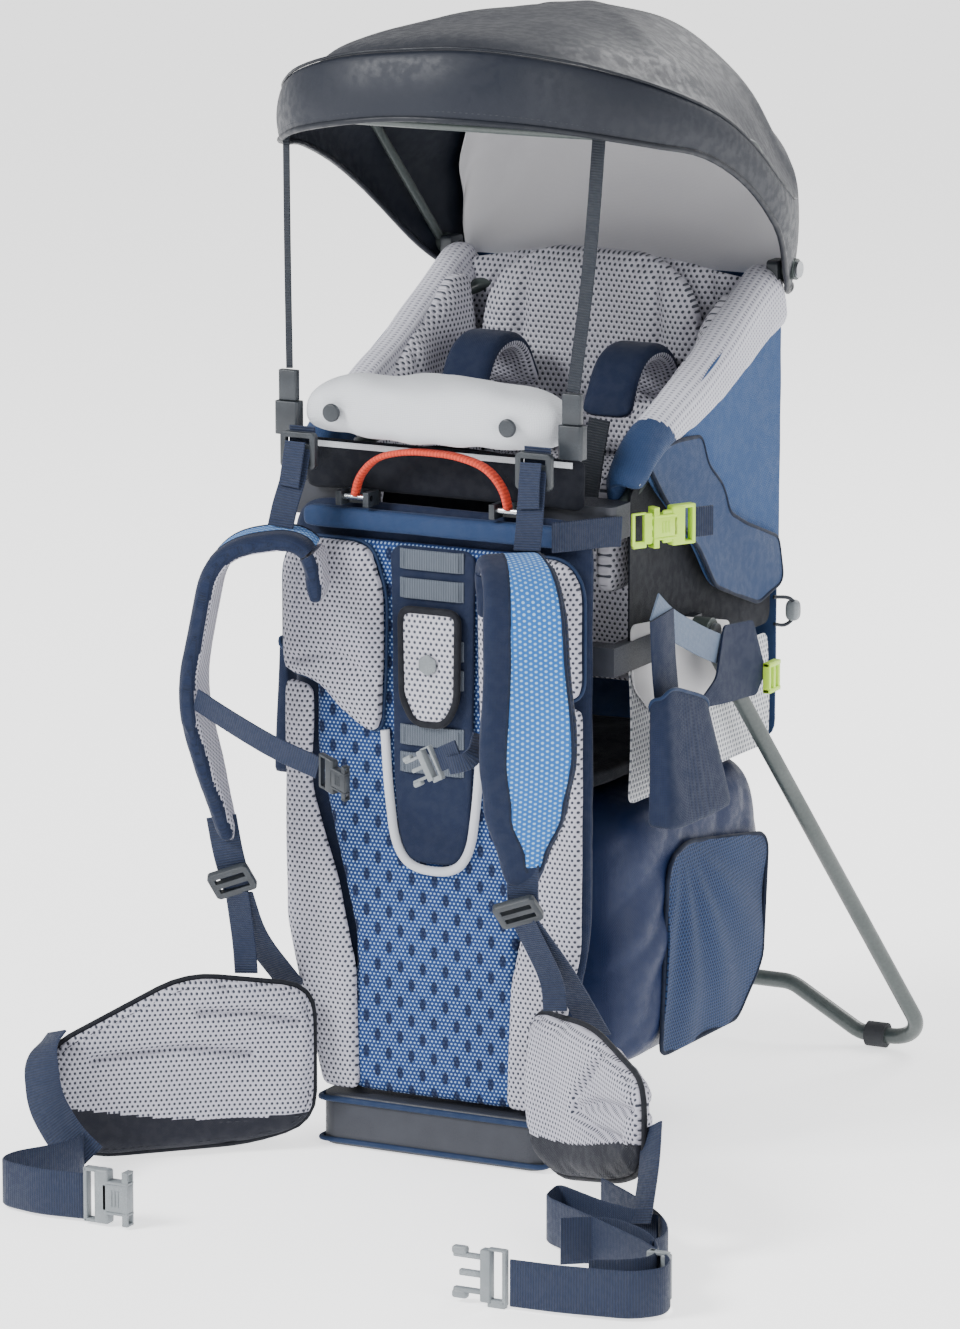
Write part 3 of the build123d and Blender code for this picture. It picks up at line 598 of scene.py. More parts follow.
# %% A stuffed pad, cut flat and blown up
def cushion(name, outline, thick, puff=6.0, grow=1.5, voxel=4.5, round_by=16, steps=20):
    """A pad in its own flat frame, x and y along the cloth and z through it, in metres."""
    ring = bend([(x, y, 0) for x, y in outline], round_by, closed=True, steps=4)
    maker = bmesh.new()
    low = [maker.verts.new((p.x * MM, p.y * MM, -thick / 2 * MM)) for p in ring]
    sole = maker.faces.new(low)
    raised = bmesh.ops.extrude_face_region(maker, geom=[sole])
    for v in [g for g in raised["geom"] if isinstance(g, bmesh.types.BMVert)]:
        v.co.z = thick / 2 * MM
    bmesh.ops.recalc_face_normals(maker, faces=maker.faces)
    mesh = bpy.data.meshes.new(name)
    maker.to_mesh(mesh)
    maker.free()
    item = bpy.data.objects.new(name, mesh)
    bpy.context.collection.objects.link(item)
    select_only(item)
    mesh.remesh_voxel_size = voxel * MM
    bpy.ops.object.voxel_remesh()
    before = [v.co.copy() for v in item.data.vertices]
    cloth = item.modifiers.new("stuffing", "CLOTH")
    cloth.settings.use_pressure = True
    cloth.settings.uniform_pressure_force = 4
    cloth.settings.effector_weights.gravity = 0
    cloth.settings.quality = 4
    for moment in range(1, steps + 1):
        bpy.context.scene.frame_set(moment)
    shown = item.evaluated_get(bpy.context.evaluated_depsgraph_get())
    after = [v.co.copy() for v in shown.data.vertices]
    item.modifiers.remove(cloth)
    bpy.context.scene.frame_set(1)
    for v, a, b in zip(item.data.vertices, before, after):
        step = b - a
        step.z = max(-puff, min(puff, step.z / MM)) * MM
        flat_step = Vector((step.x, step.y, 0))
        if flat_step.length > grow * MM:
            flat_step *= grow * MM / flat_step.length
        v.co = a + flat_step + Vector((0, 0, step.z))
    apply_modifier(item, "finer", "SUBSURF", levels=1, render_levels=1)
    return item


def press_line(item, line, depth=0.6, width=3.5):
    """Presses a sewn channel into a flat pad, along a line in its own frame."""
    path = [Vector((*p, 0)) if len(p) == 2 else Vector(p) for p in line]
    for v in item.data.vertices:
        here = Vector((v.co.x / MM, v.co.y / MM, 0))
        near = 1e9
        for a, b in zip(path, path[1:]):
            run = b - a
            t = max(0, min(1, (here - a).dot(run) / run.length_squared))
            near = min(near, (here - (a + run * t)).length)
        v.co.z *= 1 - depth * math.exp(-((near / width) ** 2))


def lay(item, place, ruffle=0.0, scale=40.0):
    """Keeps a flat pad's shape as its cloth map, then moves each point to place(x, y, z), in millimetres."""
    layer = item.data.uv_layers.new(name="cloth")
    for loop in item.data.loops:
        co = item.data.vertices[loop.vertex_index].co
        layer.data[loop.index].uv = (co.x, co.y)
    for v in item.data.vertices:
        x, y, z = v.co / MM
        if ruffle:
            z += ruffle * noise.noise(Vector((x, y, z * 0.3)) / scale)
        v.co = Vector(place(x, y, z)) * MM
    outwards(item)
    return item


# %% Firm parts with softened edges
def softened(node, radius=0.8, steps=2):
    """A copy of a frame node's mesh with its sharp edges rounded off, as moulded parts have."""
    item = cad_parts[node].copy()
    item.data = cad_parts[node].data.copy()
    item.name = item.data.name = node + "_moulded"
    item.parent = None
    for key in [k for k in item.keys() if k.startswith("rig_")]:
        del item[key]
    bpy.context.collection.objects.link(item)
    item.data.materials.clear()
    select_only(item)
    bpy.ops.object.mode_set(mode="EDIT")
    bpy.ops.mesh.select_all(action="SELECT")
    bpy.ops.mesh.remove_doubles(threshold=0.00001)
    bpy.ops.mesh.dissolve_limited(angle_limit=math.radians(3))
    bpy.ops.object.mode_set(mode="OBJECT")
    apply_modifier(
        item, "worn_edges", "BEVEL", width=radius * MM, segments=steps, limit_method="ANGLE",
        angle_limit=math.radians(32), use_clamp_overlap=True,
    )
    return item


def block(name, low, high, radius=1.0, steps=2):
    """A moulded block between two corners, in millimetres, with rounded edges."""
    bpy.ops.object.select_all(action="DESELECT")
    middle = (Vector(low) + Vector(high)) / 2 * MM
    bpy.ops.mesh.primitive_cube_add(size=1, location=middle)
    item = bpy.context.object
    item.name = item.data.name = name
    item.scale = (Vector(high) - Vector(low)) * MM
    bpy.ops.object.transform_apply(location=True, rotation=True, scale=True)
    apply_modifier(item, "edges", "BEVEL", width=radius * MM, segments=steps)
    return item


def join(name, *items):
    """Makes one piece of several."""
    select_only(*items)
    bpy.ops.object.join()
    items[0].name = items[0].data.name = name
    return items[0]


print("helpers ready")

# %% [markdown]
# ## The hard frame
# The bent tube, the stand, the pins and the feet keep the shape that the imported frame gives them, since a
# tube is already right. Moulded parts get a copy with softened edges, because a sharp edge never catches
# the light the way that a real moulding does.


# %% Finishes on the frame's own parts
def coat(material, *nodes):
    """Gives nodes of the frame a finish, and leaves their shape alone."""
    for node in nodes:
        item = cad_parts[node]
        item.data.materials.clear()
        item.data.materials.append(material)


coat(stand_paint, "kickstand_tube")
coat(stand_paint, "main_frame", "back_stays", "seat_hoop")
coat(base_plastic, "hoop_joiners", "side_arms")
coat(pin_steel, "hinge_pins")
coat(stand_paint, "canopy_rod")
coat(foot_rubber, "kickstand_feet")
for node, material, slot, body, radius in (
    ("base_pan", base_plastic, "dark_base", "frame", 3.0),
    ("ladder_locks", dark_plastic, "dark_base", "frame", 0.6),
    ("canopy_sockets", dark_plastic, "dark_base", "frame", 0.8),
    ("canopy_clips", dark_plastic, "grey_plastic", "canopy", 0.6),
    ("clip_loops", dark_plastic, "dark_base", "frame", 0.6),
    ("snap_buttons", dark_plastic, "dark_base", "frame", 0.8),
    ("handle_anchors", dark_plastic, "dark_base", "frame", 0.8),
):
    settle(softened(node, radius), material, body, slot, node, angle=35)
print("hard parts done")

# %% [markdown]
# ## Buckles
# A side release buckle is two mouldings. The tongue has a webbing slot, a middle guide and two springy arms
# with barbs, and the socket is a flat sleeve whose sides are open where the barbs come out to be pressed.
# Both are put together from rounded blocks once for each size, and then turned into their place.


# %% One tongue and one socket, lying along x
def turned(item, origin, way, wide, size=1.0):
    """Puts a piece made at the origin into place: its x runs along way, and its y along wide."""
    way, wide = Vector(way).normalized(), Vector(wide).normalized()
    flat = way.cross(wide).normalized()
    for v in item.data.vertices:
        x, y, z = v.co * size
        v.co = Vector(origin) * MM + way * x + wide * y + flat * z
    outwards(item)
    return item


def tongue(name, width, deep):
    """The half with two springy arms, along x, with its webbing slot behind the origin."""
    w, d = width / 2, deep / 2
    parts = [
        block("t", (-22, -w, -d * 0.7), (-18.4, w, d * 0.7), 1.2),
        block("t", (-9, -w * 0.94, -d), (0, w * 0.94, d), 1.4)
    ]
    parts += [block("t", (-21, s * w - 2.2, -d * 0.7), (-6, s * w + 2.2 - 2.2 * s, d * 0.7), 1.0) for s in (-1, 1)]
    parts.append(block("t", (-1, -2.6, -d * 0.55), (19, 2.6, d * 0.55), 1.2))
    for s in (-1, 1):
        arm = block("t", (-1, s * w * 0.62 - 2.0, -d * 0.6), (24, s * w * 0.62 + 2.0, d * 0.6), 1.2)
        barb = block("t", (12, s * w * 0.78 - 3.4, -d * 0.8), (25, s * w * 0.78 + 3.4, d * 0.8), 2.2, 3)
        parts += [arm, barb]
    return join(name, *parts)


def socket_half(name, width, deep):
    """The sleeve that the tongue clicks into, along x, with its webbing slot at the far end."""
    w, d = width / 2, deep / 2
    parts = [block("s", (0, -w * 0.52, -d), (24, w * 0.52, d), 1.6), block("s", (18, -w, -d), (31, w, d), 2.2, 3)]
    parts += [block("s", (0, -w, z * d - 1.1), (5.5, w, z * d + 1.1), 0.9) for z in (-0.75, 0.75)]
    parts += [block("s", (0, s * w - 1.2, -d), (5.5, s * w + 1.2, d), 0.9) for s in (-0.95, 0.95)]
    parts += [
        block("s", (0, s * w * 0.56 - 1.2, -d * 1.06), (22, s * w * 0.56 + 1.2, d * 1.06), 0.9) for s in (-1, 1)
    ]
    parts.append(block("s", (38, -w, -d * 0.75), (41.6, w, d * 0.75), 1.2))
    parts += [
        block("s", (29, s * (w - 1.6) - 1.6, -d * 0.75), (41, s * (w - 1.6) + 1.6, d * 0.75), 1.0) for s in (-1, 1)
    ]
    parts += [
        block(
            "s", (x, -w * 0.3, z * (d + 0.3) - 0.5), (x + 1.4, w * 0.3, z * (d + 0.3) + 0.5), 0.35, 1
        ) for x in (8, 11, 14) for z in (-1, 1)
    ]
    return join(name, *parts)


# %% Hip, chest and side entry buckles
settle(
    turned(socket_half("hip_buckle_socket", 45, 11), (-117, -297, 24), (-1, 0, 0), (0, 0, 1)), grey_plastic,
    "hip_belt_left", "grey_plastic", "hip_buckle_female", angle=35
)
settle(
    turned(tongue("hip_buckle_tongue", 45, 9), (227, -355, 24), (-1, 0, 0), (0, 0, 1)), grey_plastic,
    "hip_belt_right", "grey_plastic", "hip_buckle_male", angle=35
)
chest_way = Vector((120, -14, -42)).normalized()
settle(
    turned(
        socket_half("sternum_socket", 42, 13), Vector((-38, -126, 350)) + chest_way * 30, -chest_way, (0, 0, 1),
        0.66
    ),
    dark_plastic, "frame", "grey_plastic", "sternum_buckles", angle=35
)
settle(
    turned(tongue("sternum_tongue", 42, 11), (58, -126, 361), (-0.88, 0.18, -0.44), (-0.44, 0, 0.88), 0.66),
    grey_plastic, "frame", "grey_plastic", angle=35
)
side_way = Vector((0.5, 0.866, 0))
settle(
    turned(socket_half("side_entry_socket", 33, 10), Vector((164, 60, 532)) + side_way * 4, side_way, (0, 0, 1)),
    lime_plastic, "frame", "lime_plastic", "side_buckle_female", angle=35
)
settle(
    turned(tongue("side_entry_tongue", 31, 5), Vector((165.7, 59, 532)) + side_way * 3, side_way, (0, 0, 1), 0.88),
    lime_plastic, "side_buckle", "lime_plastic", "side_buckle_male", angle=35
)
print("buckles done")

# %% [markdown]
# ## The back panel
# The wearer leans on this: a slate blue body, an open blue mesh down the middle, and raised grey pads at
# the shoulder blades and the waist. A ladder of grey webbing rungs sets the back length, with a soft flap
# over it. The pads are stuffed, and the ladder is flat webbing.


# %% Finish: the middle mesh, with dashes and specks
def dashed_mesh(name):
    material, tree, shader, coords = start_finish(name)
    dash = use_group(
        tree, rows_group, coords, Pitch_across=0.0210, Pitch_along=0.0150, Width=0.15, Height=0.40
    )
    speck = use_group(
        tree, rows_group, coords, Pitch_across=0.0036, Pitch_along=0.0032, Width=0.27, Height=0.30
    )
    worn = use_group(tree, fade_group, object_coords(tree), Size=8.0)
    face = blend_colour(tree, calc(tree, "MULTIPLY", worn["Broad"], 0.5), colour("#1E3768"), colour("#152A54"))
    face = blend_colour(tree, calc(tree, "MULTIPLY", speck["Hole"], 0.85), face, colour("#8EA8CE"))
    face = blend_colour(tree, calc(tree, "MULTIPLY", dash["Hole"], 0.9), face, colour("#0A1533"))
    tree.links.new(face, shader.inputs["Base Color"])
    shader.inputs["Roughness"].default_value = 0.85
    shader.inputs["Sheen Weight"].default_value = 0.05
    shader.inputs["Specular IOR Level"].default_value = 0.2
    give_bump(tree, shader, calc(tree, "ADD", dash["Rim"], calc(tree, "MULTIPLY", speck["Rim"], 0.4)), 0.7, 0.0014)
    return material


blue_mesh = dashed_mesh("back_open_mesh")

# %% Body and middle mesh
back_body = cushion(
    "back_panel_body", [(-102, 47), (102, 47), (137, 190), (138, 543), (-138, 543), (-137, 190)], 9, 2.5, voxel=7,
    round_by=34
)
lay(back_body, lambda x, y, z: (x, 19 - z, y))
settle(back_body, navy_cloth, "frame", "slate_fabric", "back_panel")
middle_cut = [(-80, 47), (-75, 180), (-112, 330), (-112, 514), (112, 514), (112, 330), (75, 180), (80, 47)]
middle = cushion("back_middle_mesh", middle_cut, 6, 2.5, voxel=5.5, round_by=14)
lay(middle, lambda x, y, z: (x, 8 - z - 1.5 * math.cos(y / 130), y))
settle(middle, blue_mesh, "frame", "blue_mesh", "back_mesh_panel")
print("back body and middle mesh")

# %% Raised pads
upper_cut = [(47, 350), (43, 404), (42, 470), (56, 512), (122, 513), (138, 492), (138, 398), (104, 392), (78, 366)]
lower_cut = [(138, 392), (137, 190), (122, 120), (102, 48), (68, 48), (70, 150), (86, 225), (110, 300), (112, 388)]


def flip(outline, side):
    """The cut for this side, with its points in the same turning direction."""
    return outline if side > 0 else [(-x, y) for x, y in reversed(outline)]


for side, word in ((-1, "left"), (1, "right")):
    pad = cushion("shoulder_blade_pad_" + word, flip(upper_cut, side), 8, 5.5, voxel=4.5, round_by=16)
    press_line(pad, [(side * 50, 398), (side * 86, 420), (side * 126, 410)], 0.35, 4)
    lay(pad, lambda x, y, z: (x, -3 - z, y), ruffle=1.5)
    settle(pad, grey_mesh, "frame", "grey_mesh", "upper_pads")
    strip = cushion("waist_pad_" + word, flip(lower_cut, side), 6, 3.0, voxel=4.5, round_by=9)
    lay(strip, lambda x, y, z: (x, -z, y), ruffle=1.0)
    settle(strip, grey_mesh, "frame", "grey_mesh", "lower_pads")
    edge = [Vector((x, 0.5, y)) for x, y, _ in bend([(*p, 0) for p in flip(upper_cut, side)], 16, True)]
    settle(piping("blade_pad_welt_" + word, edge, 1.5, True), slate_cloth, "frame", "navy_fabric")
print("pads done")

# %% Ladder, flap and slider plate
column = cushion(
    "ladder_column", [(-24, 246), (24, 246), (34, 270), (38, 330), (40, 513), (-40, 513), (-38, 330), (-34, 270)],
    5, 0.6, voxel=4, round_by=14
)
lay(column, lambda x, y, z: (x, 1.5 - z * 0.7, y))
settle(column, navy_cloth, "frame", "navy_fabric", "adjuster_plate")
rungs = []
for height in (501, 477, 428, 404, 355, 332):
    rung = strap(
        "rung", [(-29, -0.5, height), (-24, -2.6, height), (24, -2.6, height), (29, -0.5, height)], (0, 0, 1), 17,
        1.4, turn=3, step=2
    )
    rungs.append(rung)
    for x in (-25, 25):
        rungs.append(stitches("tack", [(x, -3.4, height - 6.5), (x, -3.4, height + 6.5)], 1.6, 0.6, 0.4))
settle(join("ladder_webbing_rungs", *rungs), grey_web, "frame", "webbing", "ladder_rungs")
flap_cut = [(-25, 386), (-14, 366), (14, 366), (25, 386), (26, 460), (-26, 460)]
flap = cushion("ladder_flap", flap_cut, 4.5, 1.0, voxel=3.6, round_by=9)
lay(flap, lambda x, y, z: (x, -5.4 - z * 0.7, y))
settle(flap, pale_mesh, "frame", "grey_mesh", "adjuster_flap")
flap_edge = [Vector((x, -5.8, y)) for x, y, _ in bend([(*p, 0) for p in flap_cut], 9, True)]
settle(piping("ladder_flap_binding", flap_edge, 3.2, True), charcoal_cloth, "frame", "navy_fabric")
u_line = [
    (-44, 0.0, 356), (-41, 0.0, 310), (-35, 0.0, 262), (-20, 0.0, 242), (20, 0.0, 242), (35, 0.0, 262),
    (41, 0.0, 310), (44, 0.0, 356)
]
settle(piping("slider_plate_trim", u_line, 4.0, False, turn=18), chin_cloth, "frame", "light_fabric", "plate_trim")
bpy.ops.object.select_all(action="DESELECT")
bpy.ops.mesh.primitive_cylinder_add(
    vertices=6, radius=9 * MM, depth=2.4 * MM, location=(0, -9.3 * MM, 416 * MM), rotation=(math.pi / 2, 0, 0)
)
badge = bpy.context.object
badge.name = badge.data.name = "plain_flap_badge"
bpy.ops.object.transform_apply(location=True, rotation=True, scale=True)
apply_modifier(badge, "edges", "BEVEL", width=0.8 * MM, segments=2)
settle(badge, grey_plastic, "frame", "grey_plastic", angle=30)
print("ladder done")

# %% Cloth round the base tray
foot_line = [(-104.5, -6.5, 40), (104.5, -6.5, 40), (104.5, 62, 40), (-104.5, 62, 40)]
settle(piping("base_top_welt", bend(foot_line, 8, True), 2.6, True), slate_cloth, "frame", "slate_fabric")
foot_line = [(-104.5, -6.5, 5), (104.5, -6.5, 5), (104.5, 62, 5), (-104.5, 62, 5)]
settle(piping("base_low_welt", bend(foot_line, 8, True), 2.2, True), slate_cloth, "frame", "slate_fabric")

# %% Yoke, plain panel, chin pad and handle
yoke = cushion("yoke_band_pad", [(-118, 521), (118, 521), (118, 538), (-118, 538)], 13, 3, voxel=4.5, round_by=7)
lay(yoke, lambda x, y, z: (x, 2 - z, y), ruffle=1.5)
settle(yoke, slate_cloth, "frame", "slate_fabric", "yoke_band")
blank = cushion(
    "plain_black_panel", [(-128, 548), (128, 548), (128, 592), (-128, 592)], 5, 0.8, voxel=4.5, round_by=8
)
lay(blank, lambda x, y, z: (x, 21 - z * 0.8, y))
settle(blank, ink_cloth, "frame", "navy_fabric", "label_panel")
settle(
    strap("panel_pale_strip", [(-118, 17.2, 586), (118, 17.2, 586)], (0, 0, 1), 5, 0.8), chin_cloth, "frame",
    "light_fabric"
)


def pillow(name, centre, half, power=3.2, cuts=5, ruffle=0.0, scale=45.0, reshape=None):
    """A closed stuffed block: a cube ball pushed out to a soft box, then crumpled a little."""
    bpy.ops.object.select_all(action="DESELECT")
    bpy.ops.mesh.primitive_cube_add(size=2)
    item = bpy.context.object
    item.name = item.data.name = name
    apply_modifier(item, "divide", "SUBSURF", levels=cuts, render_levels=cuts, subdivision_type="SIMPLE")
    half, centre = Vector(half), Vector(centre)
    layers = item.data.uv_layers
    layer = layers["cloth"] if "cloth" in layers else layers.new(name="cloth")
    item.data.uv_layers.active = layer
    for face in item.data.polygons:
        most = max(range(3), key=lambda k: abs(face.center[k]))
        i, j = [k for k in range(3) if k != most]
        for n in face.loop_indices:
            co = item.data.vertices[item.data.loops[n].vertex_index].co
            layer.data[n].uv = (co[i] * half[i] * MM, co[j] * half[j] * MM)
    for v in item.data.vertices:
        d = v.co.normalized()
        size = sum(abs(c) ** power for c in d) ** (-1 / power)
        p = Vector((d[0] * size * half[0], d[1] * size * half[1], d[2] * size * half[2]))
        if ruffle:
            p += d * ruffle * noise.noise((p + centre) / scale)
        p += centre
        if reshape:
            p = Vector(reshape(p))
        v.co = p * MM
    for other in [u for u in item.data.uv_layers if u.name != "cloth"]:
        item.data.uv_layers.remove(other)
    return item


def chin_shape(p):
    """Rolls the front down and draws the ends in, as the cover is pulled round the top tube."""
    end = abs(p.x) / 117
    p.z -= 5 * end**4 + 4 * max(0, (p.y - 16) / 38)
    p.z += 1.6 * math.sin(p.x / 17 + p.y / 20) * max(0, (p.z - 620) / 30)
    return p


chin = pillow("chin_pad_roll", (0, 16, 623), (117, 38, 27), 3.0, 6, 3.0, 30, chin_shape)
settle(chin, chin_cloth, "frame", "light_fabric", "chin_pad")
arch = [
    (-70, -2, 549), (-66, -2, 566), (-50, -2, 583), (-20, -2, 590), (20, -2, 590), (50, -2, 583), (66, -2, 566),
    (70, -2, 549)
]
grip = strap("grab_handle_webbing", arch, (0, 1, 0), 12, 5.5, turn=14, step=2)
apply_modifier(grip, "soften", "SUBSURF", levels=1, render_levels=1)
settle(grip, orange_web, "handle", "handle_webbing", "grab_handle", angle=60)
print("top done")

# %% [markdown]
# ## Shoulder straps
# Each strap leaves the back panel at shoulder height, arches over, and comes down to a webbing tail. It is
# a long pad cut flat and stuffed, then bent along its arch. The outer face is open blue mesh between navy
# borders, and the face against the wearer is grey spacer mesh.

# %% One shoulder strap from its arch
arch_line = [(0, 466), (6, 524), (84, 512), (108, 390), (74, 262)]


def shoulder_strap(word, root, out, node):
    """Cuts a pad, bends it along the arch from its root, and returns its line, its place function and length."""
    root, out = Vector((*root, 0)), Vector((*out, 0)).normalized()
    side = Vector((-out.y, out.x, 0))
    line = [root + out * u + Vector((0, 0, z)) for u, z in arch_line]
    path = evenly(bend(line, 34, steps=8), 4)
    marks = [0.0]
    for a, b in zip(path, path[1:]):
        marks.append(marks[-1] + (b - a).length)
    whole = marks[-1]

    def place(x, y, z):
        s = max(0.0, min(whole, x))
        i = min(len(path) - 2, max(0, next((k for k, m in enumerate(marks) if m >= s), 1) - 1))
        t = (s - marks[i]) / max(1e-6, marks[i + 1] - marks[i])
        before, after = path[max(0, i - 3)], path[min(len(path) - 1, i + 4)]
        way = (after - before).normalized()
        up = way.cross(side).normalized()
        if up.dot(out * 0.6 + Vector((0, 0, 1))) < 0 and s < whole * 0.6:
            up = -up
        centre = path[i].lerp(path[i + 1], t) + way * (x - s)
        return centre + side * y + (up if s < whole * 0.6 else (up if up.dot(out) > 0 else -up)) * z

    inward = -1 if out.x > 0 else 1
    spread = [
        (2, 24), (50, 28), (whole * 0.45, 36), (whole * 0.68, 41), (whole - 70, 35), (whole - 30, 22),
        (whole - 4, 13)
    ]

    def half(x):
        """Half the width of the strap, x along it: slim at the root, full at the chest, and slim again."""
        for (a, p), (b, q) in zip(spread, spread[1:]):
            if x <= b:
                f = max(0.0, (x - a) / (b - a))
                return p + (q - p) * f * f * (3 - 2 * f)
        return spread[-1][1]

    marks_x = [2 + k * (whole - 6) / 24 for k in range(25)]
    cut = [(x, -half(x)) for x in marks_x] + [(x, half(x)) for x in reversed(marks_x)]
    pad = cushion("shoulder_strap_pad_" + word, cut, 8, 3.6, voxel=4.5, round_by=10)
    pad.data.materials.append(navy_cloth)
    pad.data.materials.append(strap_mesh)
    pad.data.materials.append(grey_mesh)
    for face in pad.data.polygons:
        x, y, z = face.center / MM
        window = whole * 0.10 < x < whole - 24 and inward * y < half(x) - 22 and -inward * y < half(x) - 7
        face.material_index = 1 if z > 1.5 and window else (2 if z < -1.0 and abs(y) < half(x) - 5 else 0)
    lay(pad, place)
    settle(pad, navy_cloth, "frame", "navy_fabric", node)
    for edge, slip in ((inward, 21.5), (-inward, 6.5)):
        rail = [place(x, edge * (half(x) - slip), 6.9) for x in range(int(whole * 0.10), int(whole) - 16, 5)]
        settle(piping("strap_welt_%s_%d" % (word, edge == inward), rail, 1.3), navy_cloth, "frame", "navy_fabric")
        seam = [place(x, edge * (half(x) - slip + 3.2), 6.4) for x in range(int(whole * 0.10), int(whole) - 20, 5)]
        settle(stitches("strap_stitch_%s_%d" % (word, edge == inward), seam), thread_dark, "frame", "navy_fabric")
    return path, place, whole


left_strap = shoulder_strap("left", (-80, -44), (-0.94, -0.34), "shoulder_strap_left")
right_strap = shoulder_strap("right", (88, -42), (0.6, -0.8), "shoulder_strap_right")
print("strap lengths", round(left_strap[2]), round(right_strap[2]))

# %% Load lifters, tails and the sternum strap
lifters = []
for side in (-1, 1):
    top = (side * 107, -31, 590)
    lifters.append(
        strap(
            "lifter", [top, (side * 108, -37, 566), (side * 111, -46, 545), (side * 112, -52, 528)], (1, 0, 0), 24,
            1.8
        )
    )
    lifters.append(strap("tab", [(side * 107, -23.2, 607), (side * 107, -23.2, 573)], (1, 0, 0), 24, 1.8))
    lifters.append(
        strap(
            "tail", [(side * 107, -35.2, 596), (side * 107.5, -40, 578), (side * 109, -43, 560)], (1, 0, 0), 19, 1.6
        )
    )
settle(join("load_lifter_webbing", *lifters), navy_web, "frame", "webbing", "load_lifter_straps")
tails = []
for a, b, c in (
    ((-146, -64, 222), (-150, -34, 178), (-128, -2, 128)),
    ((134, -98, 236), (146, -56, 186), (152, -2, 122)),
):
    tails.append(strap("tail", [a, b, c], (1, 0.25, 0), 24, 1.8, turn=25))
    tails.append(
        strap(
            "loose",
            [Vector(a) + Vector((0, -4, 2)), Vector(b) + Vector((-3, -9, -6)), Vector(b) + Vector((-2, -8, -30))],
            (1, 0.25, 0), 20, 1.6, turn=20
        )
    )
for place, whole, low in (
    (left_strap[1], left_strap[2], Vector((-146, -66, 226))),
    (right_strap[1], right_strap[2], Vector((134, -99, 240)))
):
    high = Vector(place(whole - 26, 0, 2))
    tails.append(
        strap("link", [high, high.lerp(low, 0.5) + Vector((0, -3, 0)), low], (1, 0.25, 0), 26, 2.2, turn=12)
    )
settle(join("strap_tail_webbing", *tails), navy_web, "frame", "webbing", "strap_webbing")
chest = [
    strap(
        "chest", [(-158, -112, 392), (-120, -121, 378), (-78, -126, 362), (-38, -126, 350)], (0, 0, 1), 19, 1.8,
        turn=20
    ),
    strap("chest", [(92, -132, 378), (72, -128, 368)], (0, 0, 1), 19, 1.8),
    strap(
        "chest", [(106, -124, 392), (104, -131, 372), (92, -134, 368), (84, -134, 366)], (0, 0, 1), 15, 1.6, turn=8
    ),
]
settle(join("sternum_webbing_band", *chest), navy_web, "frame", "webbing", "sternum_webbing")
print("straps done")

# %% [markdown]
# ## Hip fins
# The fins wrap forward round the wearer's hips. Each is a thick soft pad of grey spacer mesh with a
# charcoal border along its lower edge, sewn darts that make it cup, and a stitched edge.


# %% Both fins
def hip_fin(word, side, cut, dart_lines, band, node):
    """One fin from its flat cut. band(x) is the height of the charcoal border along it."""
    root = Vector((side * 98, -16, 0))
    run = Vector((side * 0.77, -0.638, 0)).normalized()
    normal = Vector((side * -0.638, -0.77, 0)).normalized()

    def place(x, y, z):
        cup = 7 * math.sin(min(1, max(0, x / 232)) * math.pi) - 5 * (x / 232) ** 3
        return root + run * x + normal * (z - cup * 0.8) + Vector((0, 0, y))

    pad = cushion("hip_fin_pad_" + word, cut, 12, 6, voxel=4.5, round_by=26)
    for line in dart_lines:
        press_line(pad, line, 0.55, 4)
    pad.data.materials.append(grey_mesh)
    pad.data.materials.append(charcoal_cloth)
    for face in pad.data.polygons:
        x, y, z = face.center / MM
        face.material_index = 1 if y < band(x) else 0
    edge = bend([(*p, 0) for p in cut], 26, True, 4)
    lay(pad, place, ruffle=3.0, scale=55)
    body = "hip_belt_" + word
    settle(pad, grey_mesh, body, "grey_mesh", node)
    settle(
        piping("hip_fin_binding_" + word, [place(p.x, p.y, 0) for p in edge], 2.4, True), charcoal_cloth, body,
        "navy_fabric"
    )
    centre = Vector((116, 78, 0))
    inner = [p + (centre - p).normalized() * 6.5 for p in edge]
    settle(
        stitches("hip_fin_edge_stitch_" + word, [place(p.x, p.y, 8.6) for p in inner], 4.0, 3.2, 0.45, True),
        thread_dark, body, "grey_mesh"
    )
    border = [Vector((x, band(x), 0)) for x in range(int(edge[0].x) + 8, 224, 6)]
    settle(
        stitches("hip_fin_band_stitch_" + word, [place(p.x, p.y - 3, 10.3) for p in border], 4.0, 3.0, 0.5),
        thread_dark, body, "grey_mesh"
    )


left_cut = [(4, 22), (60, 6), (192, 3), (232, 26), (232, 96), (110, 152), (4, 138)]
right_cut = [(4, 30), (50, 12), (172, 40), (232, 64), (232, 136), (110, 152), (4, 142)]
hip_fin(
    "left", -1, left_cut,
    [[(60, 84), (110, 92), (190, 88)], [(20, 110), (60, 120), (100, 122)]],
    lambda x: 34 - 8 * math.sin(x / 60) + 12 * (x / 232), "hip_fin_left",
)
hip_fin(
    "right", 1, right_cut,
    [[(100, 84), (150, 100), (222, 112)], [(96, 80), (140, 76), (206, 84)], [(98, 92), (130, 120), (150, 136)]],
    lambda x: 42 + 0.17 * x - 6 * math.sin(x / 50), "hip_fin_right",
)
print("hip fins done")

